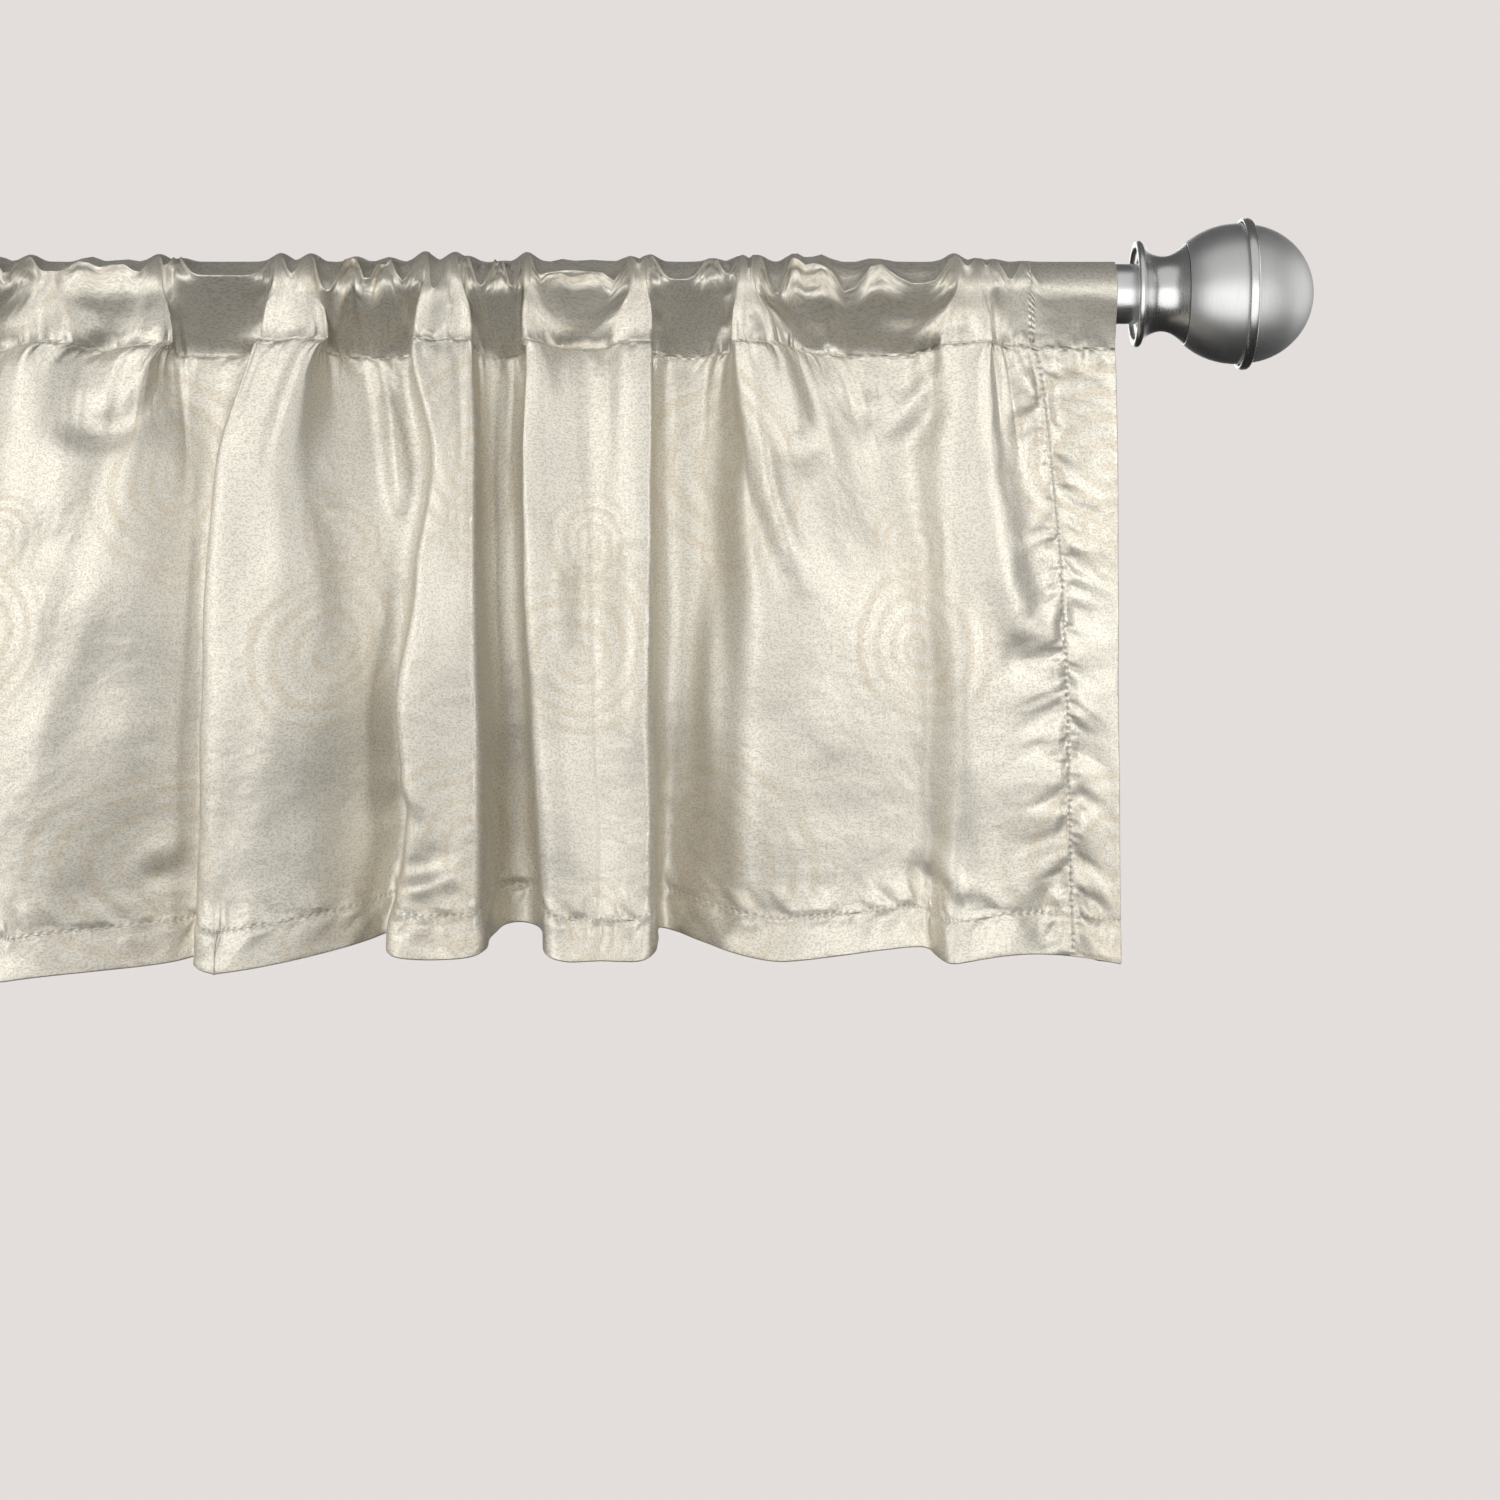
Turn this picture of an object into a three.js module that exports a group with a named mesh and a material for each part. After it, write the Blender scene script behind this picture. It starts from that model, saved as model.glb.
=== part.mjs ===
// A satin rod-pocket valance gathered on a tubular curtain rod, with a ball finial at each end.
// Millimetres. +X runs along the rod, +Z is up and the face of the cloth looks along -Y.
// The origin is the middle of the rod's axis.
import * as THREE from 'three';

// Rod: a drawn tube whose ends sit inside the finials
const ROD_DIAMETER = 25.4;
const ROD_WALL = 0.8;
const ROD_HALF_LENGTH = 499;
const ROUND_SIDES = 24;
const CURVE_STEPS = 4;
const FIT_GAP = 0.3;

// Finial: places along its axis run outwards from the plane of the bead ring
const RING_PLANE = 528.7;
const NECK = {
  rimAt: -45.4,
  rimRadius: 22.5,
  rimBead: 1.7,
  throatAt: -41,
  flareAt: -42.2,
  flareRadius: 18.2,
  waistAt: -34.9,
  waistRadius: 15.9,
  waistEase: 3.7,
  swellAt: -28.4,
  swellRadius: 18.6,
  shoulderAt: -25.65,
  shoulderRadius: 20.9,
};
const BULB = { centreAt: -3, halfLength: 32.6, radius: 29.6 };
const CAP_RADIUS = 29.2;
const RING = { innerRadius: 29.95, outerRadius: 32.1, halfWidth: 2.2 };

// Cloth: thickness of the sheet, its edges and its pocket round the rod
const CLOTH_THICKNESS = 1.2;
const HEM_THICKNESS = 2.2;
const HEM_STITCH_THICKNESS = 1.5;
const HEM_SHARE = 0.072;
const EDGE_AT_SEAM = 473;
const EDGE_AT_HEM = 476;
const EDGE_DROP = 284;
const EDGE_FORWARD = 12;
const POCKET_RADIUS = 14.2;
const POCKET_STRIPS = 11;
const POCKET_FIRST_ANGLE = THREE.MathUtils.degToRad(-35);
const POCKET_LAST_ANGLE = THREE.MathUtils.degToRad(235);

// Hang of the folds: where the valleys lie, and how seam and hem follow a fold that stands forward
const SEAM_DROP = 26.4;
const SEAM_RISE = 0.33;
const SEAM_RUN = -2;
const TENT_NARROWING = 0.3;
const SEAM_BACK = 4;
const HEM_BACK = 12;
const HEM_LIFT = 0.27;
const FOLD_OPENING = 0.6;

// Gathers on the rod: crests stand up on top of the rod and the cloth between them droops over its front
const CREST_LIFT = 6.5;
const CREST_ANGLE = THREE.MathUtils.degToRad(95);
const CREST_SHARPNESS = 3;
const DROOP = 8;
const DROOP_ANGLE = THREE.MathUtils.degToRad(2);
const GATHER_UNEVENNESS = 0.5;
const GOLDEN_STEP = 0.618;
const CREST_AT_SEAM = 0.3;
const CREST_FADE = 0.3;
const FOLD_SWELL = 0.12;
const FULL_TENT = 24;
const COLUMNS_PER_GATHER = 4;
const COLUMNS_ON_FLAT_END = 3;

// Places on the spline, in control lines: the face of a fold lies between the middles of its two sides
const LINES_PER_FOLD = 4;
const FIRST_FACE = 1.5;
const FACE_SPAN = 2;

// One row for each forward fold, from left to right, in mm along the rod:
// its face at the seam and at the hem, its sideways bow half way down, how far it stands forward,
// the run of its sides into the valleys at the hem (negative where a side is tucked under),
// its hem below the rod's axis, how far forward the next valley lies, and the gathers on it and after it.
const FOLD_COLUMNS = [
  'seamFrom', 'seamTo', 'hemFrom', 'hemTo', 'bow', 'seamDepth', 'hemDepth',
  'leftRun', 'rightRun', 'hemDrop', 'valley', 'gathersOn', 'gathersAfter',
];
const FOLDS = namedRows(FOLD_COLUMNS, [
  [-421, -399, -416, -377, -6, 15, 25, 22, 9, 284.0, 8, 1, 2],
  [-338, -309, -346, -312, 3, 18, 34, 12, 4, 283.0, 2, 1, 2],
  [-276, -243, -281, -238, -3, 17, 38, -10, 7, 283.5, 0, 2, 2],
  [-205, -182, -212, -171, 2, 20, 39, 8, -9, 285.0, 0, 1, 3],
  [-140, -112, -152, -116, 0, 18, 36, 6, 6, 287.0, 3, 2, 2],
  [-75, -52, -92, -64, 3, 15, 30, 10, 8, 288.5, 6, 1, 2],
  [13, 34, -34, -12, 0, 15, 26, 6, 8, 290.0, 14, 1, 2],
  [62, 76, 6, 27, 0, 15, 31, 6, 47, 290.5, 0, 1, 1],
  [113, 142, 88, 118, 6, 18, 38, 4, 34, 286.5, 0, 1, 3],
  [177, 203, 167, 207, 1, 21, 40, -13, 4, 280.7, 0, 1, 2],
  [224, 279, 238, 279, 2, 18, 40, 3, -10, 281.5, 0, 4, 2],
  [310, 336, 312, 340, -2, 18, 30, 24, 10, 282.0, 11, 2, 3],
  [400, 421, 390, 414, 3, 16, 25, 12, 22, 283.5, 9, 1, 0],
]);
const SKIRT_LEVELS = [1, 1 - HEM_SHARE, 0.58, 0.24, 0];

// Table rows as objects with named columns
function namedRows(columns, rows) {
  return rows.map((row) => Object.fromEntries(columns.map((name, i) => [name, row[i]])));
}

// Finishes
const SATIN = { color: 0xe3dbc7, roughness: 0.42, metalness: 0 };
const BRUSHED_NICKEL = { color: 0xb4b4b2, roughness: 0.32, metalness: 1 };
const POLISHED_NICKEL = { color: 0xc9c9c7, roughness: 0.16, metalness: 1 };
const ROD_STEEL = { color: 0xd2d2d2, roughness: 0.2, metalness: 1 };

// A named mesh with a finish of its own
function piece(name, geometry, finish) {
  const mesh = new THREE.Mesh(geometry, new THREE.MeshStandardMaterial(finish));
  mesh.name = name;
  return mesh;
}

// A solid of revolution from a profile of (radius, place along the axis)
function turned(profile) {
  return new THREE.LatheGeometry(profile, ROUND_SIDES);
}

// Rod tube, standing along the lathe's axis
function rodGeometry() {
  const outer = ROD_DIAMETER / 2;
  const inner = outer - ROD_WALL;
  const profile = [
    new THREE.Vector2(inner, -ROD_HALF_LENGTH),
    new THREE.Vector2(outer, -ROD_HALF_LENGTH),
    new THREE.Vector2(outer, ROD_HALF_LENGTH),
    new THREE.Vector2(inner, ROD_HALF_LENGTH),
    new THREE.Vector2(inner, -ROD_HALF_LENGTH),
  ];
  return turned(profile);
}

// Finial neck: a socket over the rod, a hollow flare with a rolled rim, a waist and a shoulder
function neckGeometry() {
  const bore = ROD_DIAMETER / 2 + FIT_GAP;
  const boreEnd = ROD_HALF_LENGTH + FIT_GAP - RING_PLANE;
  const rimCentre = NECK.rimRadius - NECK.rimBead;
  const rimEnd = 2 * Math.PI + Math.PI / 3;
  const { flareRadius, flareAt, waistRadius, waistAt, waistEase, swellRadius, swellAt } = NECK;
  const profile = new THREE.Path();
  profile.moveTo(0, boreEnd);
  profile.lineTo(bore, boreEnd);
  profile.lineTo(bore, NECK.throatAt);
  profile.quadraticCurveTo(bore + NECK.rimBead, NECK.rimAt, rimCentre - NECK.rimBead, NECK.rimAt);
  profile.absarc(rimCentre, NECK.rimAt, NECK.rimBead, Math.PI, rimEnd, false);
  profile.bezierCurveTo(flareRadius, flareAt, waistRadius, waistAt - waistEase, waistRadius, waistAt);
  profile.bezierCurveTo(
    waistRadius, waistAt + waistEase, swellRadius, swellAt, NECK.shoulderRadius, NECK.shoulderAt,
  );
  profile.lineTo(0, NECK.shoulderAt);
  return turned(profile.getPoints(CURVE_STEPS));
}

// Finial bulb: part of an ellipsoid between the neck's shoulder and the ring plane
function bulbGeometry() {
  const from = NECK.shoulderAt + FIT_GAP;
  const to = -FIT_GAP / 2;
  const angleAt = (place) => Math.asin((place - BULB.centreAt) / BULB.halfLength);
  const radiusAt = (place) => BULB.radius * Math.cos(angleAt(place));
  const profile = new THREE.Path();
  profile.moveTo(0, from);
  profile.lineTo(radiusAt(from), from);
  profile.absellipse(0, BULB.centreAt, BULB.radius, BULB.halfLength, angleAt(from), angleAt(to), false);
  profile.lineTo(0, to);
  return turned(profile.getPoints(CURVE_STEPS));
}

// Finial ring: a bead band round the joint of bulb and cap
function ringGeometry() {
  const middle = (RING.innerRadius + RING.outerRadius) / 2;
  const halfHeight = (RING.outerRadius - RING.innerRadius) / 2;
  const profile = new THREE.Path();
  profile.absellipse(middle, 0, halfHeight, RING.halfWidth, 0, 2 * Math.PI, false);
  return turned(profile.getPoints(CURVE_STEPS));
}

// Finial cap: a half ball
function capGeometry() {
  const from = FIT_GAP / 2;
  const startAngle = Math.asin(from / CAP_RADIUS);
  const profile = new THREE.Path();
  profile.moveTo(0, from);
  profile.lineTo(CAP_RADIUS * Math.cos(startAngle), from);
  profile.absarc(0, 0, CAP_RADIUS, startAngle, Math.PI / 2, false);
  return turned(profile.getPoints(CURVE_STEPS));
}

// One finial, its axis turned to lie along the rod and point outwards
function finial(sideName, direction) {
  const group = new THREE.Group();
  group.add(piece(`finial_neck_${sideName}`, neckGeometry(), BRUSHED_NICKEL));
  group.add(piece(`finial_bulb_${sideName}`, bulbGeometry(), BRUSHED_NICKEL));
  group.add(piece(`finial_ring_${sideName}`, ringGeometry(), POLISHED_NICKEL));
  group.add(piece(`finial_cap_${sideName}`, capGeometry(), BRUSHED_NICKEL));
  group.rotation.z = -direction * Math.PI / 2;
  group.position.x = direction * RING_PLANE;
  return group;
}

// A control line of the folds: where it lies on the rod, at the seam and at the hem, and its sideways bow
function controlLine(topX, seamX, seamForward, hemX, hemForward, hemDrop, bow) {
  return {
    topX,
    seam: new THREE.Vector3(seamX, SEAM_BACK - seamForward, SEAM_RISE * seamForward - SEAM_DROP),
    hem: new THREE.Vector3(hemX, HEM_BACK - hemForward, -hemDrop),
    bow,
  };
}

// Control lines across the whole width: an edge, then foot, shoulder, shoulder and foot of each fold,
// then an edge. A fold's face is narrower on the rod than at the seam, like a small tent.
function foldControlLines() {
  const edge = (side) => controlLine(
    side * EDGE_AT_SEAM, side * EDGE_AT_SEAM, 0, side * EDGE_AT_HEM, EDGE_FORWARD, EDGE_DROP, 0,
  );
  const lines = [edge(-1)];
  let valleyBefore = FOLDS[FOLDS.length - 1].valley;
  for (const fold of FOLDS) {
    const { seamFrom, seamTo, hemFrom, hemTo, bow } = fold;
    const inset = (TENT_NARROWING * (seamTo - seamFrom)) / 2;
    const footDrop = (valley) => fold.hemDrop - HEM_LIFT * (fold.hemDepth - valley);
    const foot = (topX, seamX, hemX, valley) => (
      controlLine(topX, seamX, 0, hemX, valley, footDrop(valley), bow)
    );
    const shoulder = (topX, seamX, hemX) => (
      controlLine(topX, seamX, fold.seamDepth, hemX, fold.hemDepth, fold.hemDrop, bow)
    );
    lines.push(
      foot(seamFrom + inset, seamFrom - SEAM_RUN, hemFrom - fold.leftRun, valleyBefore),
      shoulder(seamFrom + inset, seamFrom, hemFrom),
      shoulder(seamTo - inset, seamTo, hemTo),
      foot(seamTo - inset, seamTo + SEAM_RUN, hemTo + fold.rightRun, fold.valley),
    );
    valleyBefore = fold.valley;
  }
  lines.push(edge(1));
  return lines;
}

// The control points at one level, 0 at the seam and 1 at the hem: folds open quickly below the seam
function controlPoints(lines, level) {
  const opening = level ** FOLD_OPENING;
  return lines.map(({ seam, hem, bow }) => new THREE.Vector3(
    THREE.MathUtils.lerp(seam.x, hem.x, opening) + 4 * bow * level * (1 - level),
    THREE.MathUtils.lerp(seam.y, hem.y, opening),
    THREE.MathUtils.lerp(seam.z, hem.z, level),
  ));
}

// Point on a uniform cubic B-spline: one control point for each unit of t, a mirrored one past each end
function splinePoint(points, t) {
  const last = points.length - 1;
  const start = Math.min(Math.floor(t), last - 1);
  const u = t - start;
  const w = 1 - u;
  const weights = [w ** 3, 3 * u ** 3 - 6 * u ** 2 + 4, 3 * w ** 3 - 6 * w ** 2 + 4, u ** 3];
  const mirrored = (end, inner) => points[end].clone().multiplyScalar(2).sub(points[inner]);
  const sum = new THREE.Vector3();
  weights.forEach((weight, i) => {
    const at = start - 1 + i;
    const point = at < 0 ? mirrored(0, 1) : at > last ? mirrored(last, last - 1) : points[at];
    sum.addScaledVector(point, weight / 6);
  });
  return sum;
}

// Height of the gathers at a place counted in crests: uneven from crest to crest, easing from one to the next
function gatherHeight(place) {
  const crestHeight = (crest) => 1 - GATHER_UNEVENNESS * ((crest * GOLDEN_STEP) % 1);
  const before = Math.floor(place);
  const share = THREE.MathUtils.smoothstep(place - before, 0, 1);
  return THREE.MathUtils.lerp(crestHeight(before), crestHeight(before + 1), share);
}

// Columns across the width: spline parameter, height of the gather and share of its crest.
// A panel is a fold's face or the valley after it, and a crest stands at each end of a gather.
function clothColumns(lineCount) {
  const panels = [{ from: 0, to: FIRST_FACE, gathers: 0 }];
  FOLDS.forEach((fold, i) => {
    const faceFrom = LINES_PER_FOLD * i + FIRST_FACE;
    const faceTo = faceFrom + FACE_SPAN;
    const valleyTo = i === FOLDS.length - 1 ? lineCount - 1 : faceFrom + LINES_PER_FOLD;
    panels.push({ from: faceFrom, to: faceTo, gathers: fold.gathersOn });
    panels.push({ from: faceTo, to: valleyTo, gathers: fold.gathersAfter });
  });
  const columns = [{ t: 0, height: 0, crest: 0 }];
  let gathersBefore = 0;
  for (const { from, to, gathers } of panels) {
    const count = gathers ? gathers * COLUMNS_PER_GATHER : COLUMNS_ON_FLAT_END;
    for (let i = 1; i <= count; i += 1) {
      const phase = (gathers * i) / count;
      columns.push({
        t: THREE.MathUtils.lerp(from, to, i / count),
        height: gathers ? gatherHeight(gathersBefore + phase) : 0,
        crest: Math.abs(Math.cos(Math.PI * phase)) ** CREST_SHARPNESS,
      });
    }
    gathersBefore += gathers;
  }
  return columns;
}

// A bump that is 1 at angle 0 and fades out a quarter turn from it
function bump(angle) {
  return Math.max(0, Math.cos(angle)) ** 2;
}

// Point of the pocket at an angle round the rod, 0 at its front and a quarter turn at its top: the loop lies
// round the rod and leaves it along tangents that meet at the seam
function pocketPoint(seam, topX, column, angle) {
  const lift = CREST_LIFT * column.crest * bump((angle - CREST_ANGLE) / 2);
  const forward = SEAM_BACK - seam.y;
  const slack = Math.max(0, 1 - forward / FULL_TENT);
  const droop = DROOP * slack * (1 - column.crest) * bump(angle - DROOP_ANGLE);
  const swell = FOLD_SWELL * forward * bump(angle - DROOP_ANGLE);
  const radius = POCKET_RADIUS + column.height * (lift + droop) + swell;
  const seamAngle = Math.atan2(seam.z, -seam.y);
  const around = angle - seamAngle;
  const fromSeam = Math.min(around, 2 * Math.PI - around);
  const reach = Math.acos(Math.min(1, radius / Math.hypot(seam.y, seam.z)));
  const distance = radius / Math.cos(Math.max(0, reach - fromSeam));
  const x = THREE.MathUtils.lerp(seam.x, topX, Math.sin(fromSeam / 2) ** 2);
  return new THREE.Vector3(x, -distance * Math.cos(angle), distance * Math.sin(angle));
}

// Unit normals of a grid of points, along (column step) x (row step)
function gridNormals(rows) {
  const rowLast = rows.length - 1;
  const columnLast = rows[0].length - 1;
  return rows.map((row, i) => row.map((_, j) => {
    const along = row[Math.min(j + 1, columnLast)].clone().sub(row[Math.max(j - 1, 0)]);
    const up = rows[Math.min(i + 1, rowLast)][j].clone().sub(rows[Math.max(i - 1, 0)][j]);
    return along.cross(up).normalize();
  }));
}

// A row of points moved along its normals
function offsetRow(row, normals, distance) {
  return row.map((point, j) => point.clone().addScaledVector(normals[j], distance));
}

// The valance as one closed sheet: a hanging skirt whose top is a loop round the rod
function valanceGeometry() {
  const lines = foldControlLines();
  const columns = clothColumns(lines.length);
  const skirt = SKIRT_LEVELS.map((level) => {
    const points = controlPoints(lines, level);
    const fade = CREST_LIFT * CREST_AT_SEAM * Math.max(0, 1 - level / CREST_FADE);
    return columns.map(({ t, height, crest }) => {
      const crestForward = new THREE.Vector3(0, -fade * height * crest, 0);
      return splinePoint(points, t).add(crestForward);
    });
  });
  const seam = skirt[skirt.length - 1];
  const topPoints = lines.map(({ topX }) => new THREE.Vector3(topX, 0, 0));
  const topX = columns.map(({ t }) => splinePoint(topPoints, t).x);
  const loop = [seam];
  for (let k = 1; k < POCKET_STRIPS; k += 1) {
    const share = (k - 1) / (POCKET_STRIPS - 2);
    const angle = THREE.MathUtils.lerp(POCKET_FIRST_ANGLE, POCKET_LAST_ANGLE, share);
    loop.push(seam.map((point, j) => pocketPoint(point, topX[j], columns[j], angle)));
  }
  loop.push(seam);

  const skirtNormals = gridNormals(skirt);
  const loopNormals = gridNormals(loop);
  const thickness = (i) => [HEM_THICKNESS, HEM_STITCH_THICKNESS][i] ?? CLOTH_THICKNESS;
  const front = skirt.map((row, i) => offsetRow(row, skirtNormals[i], thickness(i) / 2));
  const back = skirt.map((row, i) => offsetRow(row, skirtNormals[i], -thickness(i) / 2));
  const inLoop = (rows) => rows.slice(1, -1);
  const outside = inLoop(loop.map((row, i) => offsetRow(row, loopNormals[i], CLOTH_THICKNESS / 2)));
  const inside = inLoop(loop.map((row, i) => offsetRow(row, loopNormals[i], -CLOTH_THICKNESS / 2)));
  const crotch = seam.map((point) => {
    const towardsRod = new THREE.Vector3(0, -point.y, -point.z).normalize();
    return point.clone().addScaledVector(towardsRod, CLOTH_THICKNESS);
  });
  return loopedSheet(front, outside, back, crotch, inside, columns.length);
}

// Closed mesh of the looped sheet: an outer and an inner ring of rows, joined along the columns and capped
function loopedSheet(front, outside, back, crotch, inside, columnCount) {
  const outer = [...front, ...outside, ...back.slice().reverse()];
  const inner = [crotch, ...inside];
  const rows = [...outer, ...inner];
  const vertex = (row, column) => row * columnCount + column;
  const index = [];
  const quad = (a, b, c, d) => index.push(a, b, c, a, c, d);
  const wrap = (firstRow, count, outwards) => {
    for (let r = 0; r < count; r += 1) {
      const low = firstRow + r;
      const high = firstRow + ((r + 1) % count);
      for (let c = 0; c + 1 < columnCount; c += 1) {
        const corners = [vertex(low, c), vertex(low, c + 1), vertex(high, c + 1), vertex(high, c)];
        quad(...(outwards ? corners : corners.reverse()));
      }
    }
  };
  wrap(0, outer.length, true);
  wrap(outer.length, inner.length, false);

  const seamFront = front.length - 1;
  const seamBack = front.length + outside.length;
  const apex = outer.length;
  for (const [column, isLeft] of [[0, true], [columnCount - 1, false]]) {
    const at = (row) => vertex(row, column);
    const cap = (a, b, c, d) => quad(...(isLeft ? [a, b, c, d] : [d, c, b, a]).map(at));
    for (let r = 0; r < seamFront; r += 1) {
      cap(r, r + 1, outer.length - 2 - r, outer.length - 1 - r);
    }
    const seamTriangle = [seamFront, apex, seamBack].map(at);
    index.push(...(isLeft ? seamTriangle : seamTriangle.reverse()));
    for (let r = seamFront; r < seamBack; r += 1) {
      const innerRow = apex + r - seamFront;
      const nextInner = r + 1 === seamBack ? apex : innerRow + 1;
      cap(r, r + 1, nextInner, innerRow);
    }
  }

  const geometry = new THREE.BufferGeometry();
  geometry.setFromPoints(rows.flat());
  geometry.setIndex(index);
  geometry.computeVertexNormals();
  return geometry;
}

// The whole part
const part = new THREE.Group();
const rod = piece('rod', rodGeometry(), ROD_STEEL);
rod.rotation.z = -Math.PI / 2;
part.add(rod);
part.add(piece('valance', valanceGeometry(), SATIN));
part.add(finial('left', -1));
part.add(finial('right', 1));

export default part;
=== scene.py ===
"""Looks of a satin rod-pocket valance gathered on a tubular curtain rod with a ball finial at each end.

Metres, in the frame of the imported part: +X runs along the rod, +Z is up and the face of the cloth looks
along -Y. Sizes in the classes are in mm unless they say otherwise.
"""

import sys

import logging
import math
from dataclasses import dataclass
from enum import Enum
from typing import ClassVar

import bpy
import numpy as np
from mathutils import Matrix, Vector


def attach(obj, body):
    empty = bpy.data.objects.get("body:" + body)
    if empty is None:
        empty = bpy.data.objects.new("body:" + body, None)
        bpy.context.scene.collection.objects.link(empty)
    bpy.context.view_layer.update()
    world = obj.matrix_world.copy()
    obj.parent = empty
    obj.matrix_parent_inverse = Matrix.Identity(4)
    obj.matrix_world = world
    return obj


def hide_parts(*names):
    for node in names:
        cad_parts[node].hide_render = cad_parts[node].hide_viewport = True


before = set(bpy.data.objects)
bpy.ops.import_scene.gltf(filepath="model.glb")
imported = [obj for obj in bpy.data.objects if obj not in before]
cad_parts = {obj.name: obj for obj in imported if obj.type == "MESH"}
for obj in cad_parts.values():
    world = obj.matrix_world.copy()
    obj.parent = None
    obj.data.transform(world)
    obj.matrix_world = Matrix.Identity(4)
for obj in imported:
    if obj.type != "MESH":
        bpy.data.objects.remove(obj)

MM = 0.001
BODY = "root"
LOG = logging.getLogger("valance")
Array = np.ndarray
Socket = bpy.types.NodeSocket
Value = Socket | float | tuple[float, ...]
Colour = tuple[float, float, float, float]
Pair = tuple[float, float]
Triple = tuple[float, float, float]


class Side(Enum):
    """The two ends of the rod, with the direction of each along +X."""

    LEFT = -1
    RIGHT = 1

    @property
    def index(self) -> int:
        """Place of this end in a pair of values for the left and the right."""
        return 0 if self is Side.LEFT else 1


# Shapes


def ease(low: float, high: float, value: Array) -> Array:
    """Smooth step from 0 at low to 1 at high: 3 t^2 - 2 t^3 of the clamped share t.

    Args:
        low: the value where the step starts.
        high: the value where it ends, which may be the smaller of the two.
        value: the places to work out.

    Returns:
        The step's height at each place.
    """
    share = np.clip((value - low) / (high - low), 0, 1)
    return share * share * (3 - 2 * share)


def bump(angle: Array) -> Array:
    """A bump that is 1 at angle 0 and fades out a quarter turn from it: the positive cosine, squared."""
    return np.maximum(0, np.cos(angle)) ** 2


def ripple(first: Array, second: Array, seed: int) -> Array:
    """Smooth uneven ripples on a plane: random heights on whole numbers, eased between the four nearest.

    Args:
        first: places along the first direction, in cells.
        second: places along the second direction, in cells.
        seed: the number that fixes the random heights.

    Returns:
        Heights from -1 to 1.
    """
    side = 256
    heights = np.random.default_rng(seed).uniform(-1, 1, (side, side))
    first, second = np.broadcast_arrays(first, second)
    low_a, low_b = np.floor(first).astype(int), np.floor(second).astype(int)
    share_a, share_b = ease(0, 1, first - low_a), ease(0, 1, second - low_b)

    def corner(a: int, b: int) -> Array:
        """Heights at one of the four corners of each place's cell."""
        return heights[(low_a + a) % side, (low_b + b) % side]

    near = corner(0, 0) * (1 - share_b) + corner(0, 1) * share_b
    far = corner(1, 0) * (1 - share_b) + corner(1, 1) * share_b
    return near * (1 - share_a) + far * share_a


def unit(vectors: Array) -> Array:
    """Vectors scaled to length 1."""
    return vectors / np.maximum(np.linalg.norm(vectors, axis=-1, keepdims=True), 1e-12)


def grid_normals(points: Array) -> Array:
    """Unit normals of a grid of points: the step along a row crossed with the step from row to row."""
    return unit(np.cross(np.gradient(points, axis=1), np.gradient(points, axis=0)))


def grid_quads(rows: int, columns: int, closed: bool = False) -> Array:
    """Quads between neighbouring points of a grid.

    Args:
        rows: points from row to row.
        columns: points along a row.
        closed: joins the last column to the first.

    Returns:
        Four point numbers for each quad, along the row first.
    """
    column = np.arange(columns if closed else columns - 1)
    row = np.arange(rows - 1)[:, None] * columns
    after = (column + 1) % columns
    corners = [row + column, row + after, row + columns + after, row + columns + column]
    return np.stack(corners, -1).reshape(-1, 4)


def new_piece(name: str, points: Array, faces: list | Array, maps: dict[str, Array]) -> bpy.types.Object:
    """A smooth mesh object at the origin that rides on the part's body.

    Args:
        name: the piece's name.
        points: its points, in metres.
        faces: point numbers of each face.
        maps: for each UV map its name and its place for every face corner in turn.

    Returns:
        The new object.
    """
    mesh = bpy.data.meshes.new(name)
    mesh.from_pydata(np.asarray(points).reshape(-1, 3).tolist(), [], [list(face) for face in faces])
    for map_name, places in maps.items():
        layer = mesh.uv_layers.new(name=map_name)
        layer.data.foreach_set("uv", np.ascontiguousarray(places, np.float32).ravel())
    mesh.polygons.foreach_set("use_smooth", np.ones(len(mesh.polygons), bool))
    mesh.update()
    piece = bpy.data.objects.new(name, mesh)
    bpy.context.scene.collection.objects.link(piece)
    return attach(piece, BODY)


def report(piece: bpy.types.Object, said: str) -> None:
    """Logs a finished piece with its number of triangles."""
    triangles = sum(len(face.vertices) - 2 for face in piece.data.polygons)
    LOG.info("%s: %d triangles, %s", piece.name, triangles, said)


# Finishes


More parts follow.
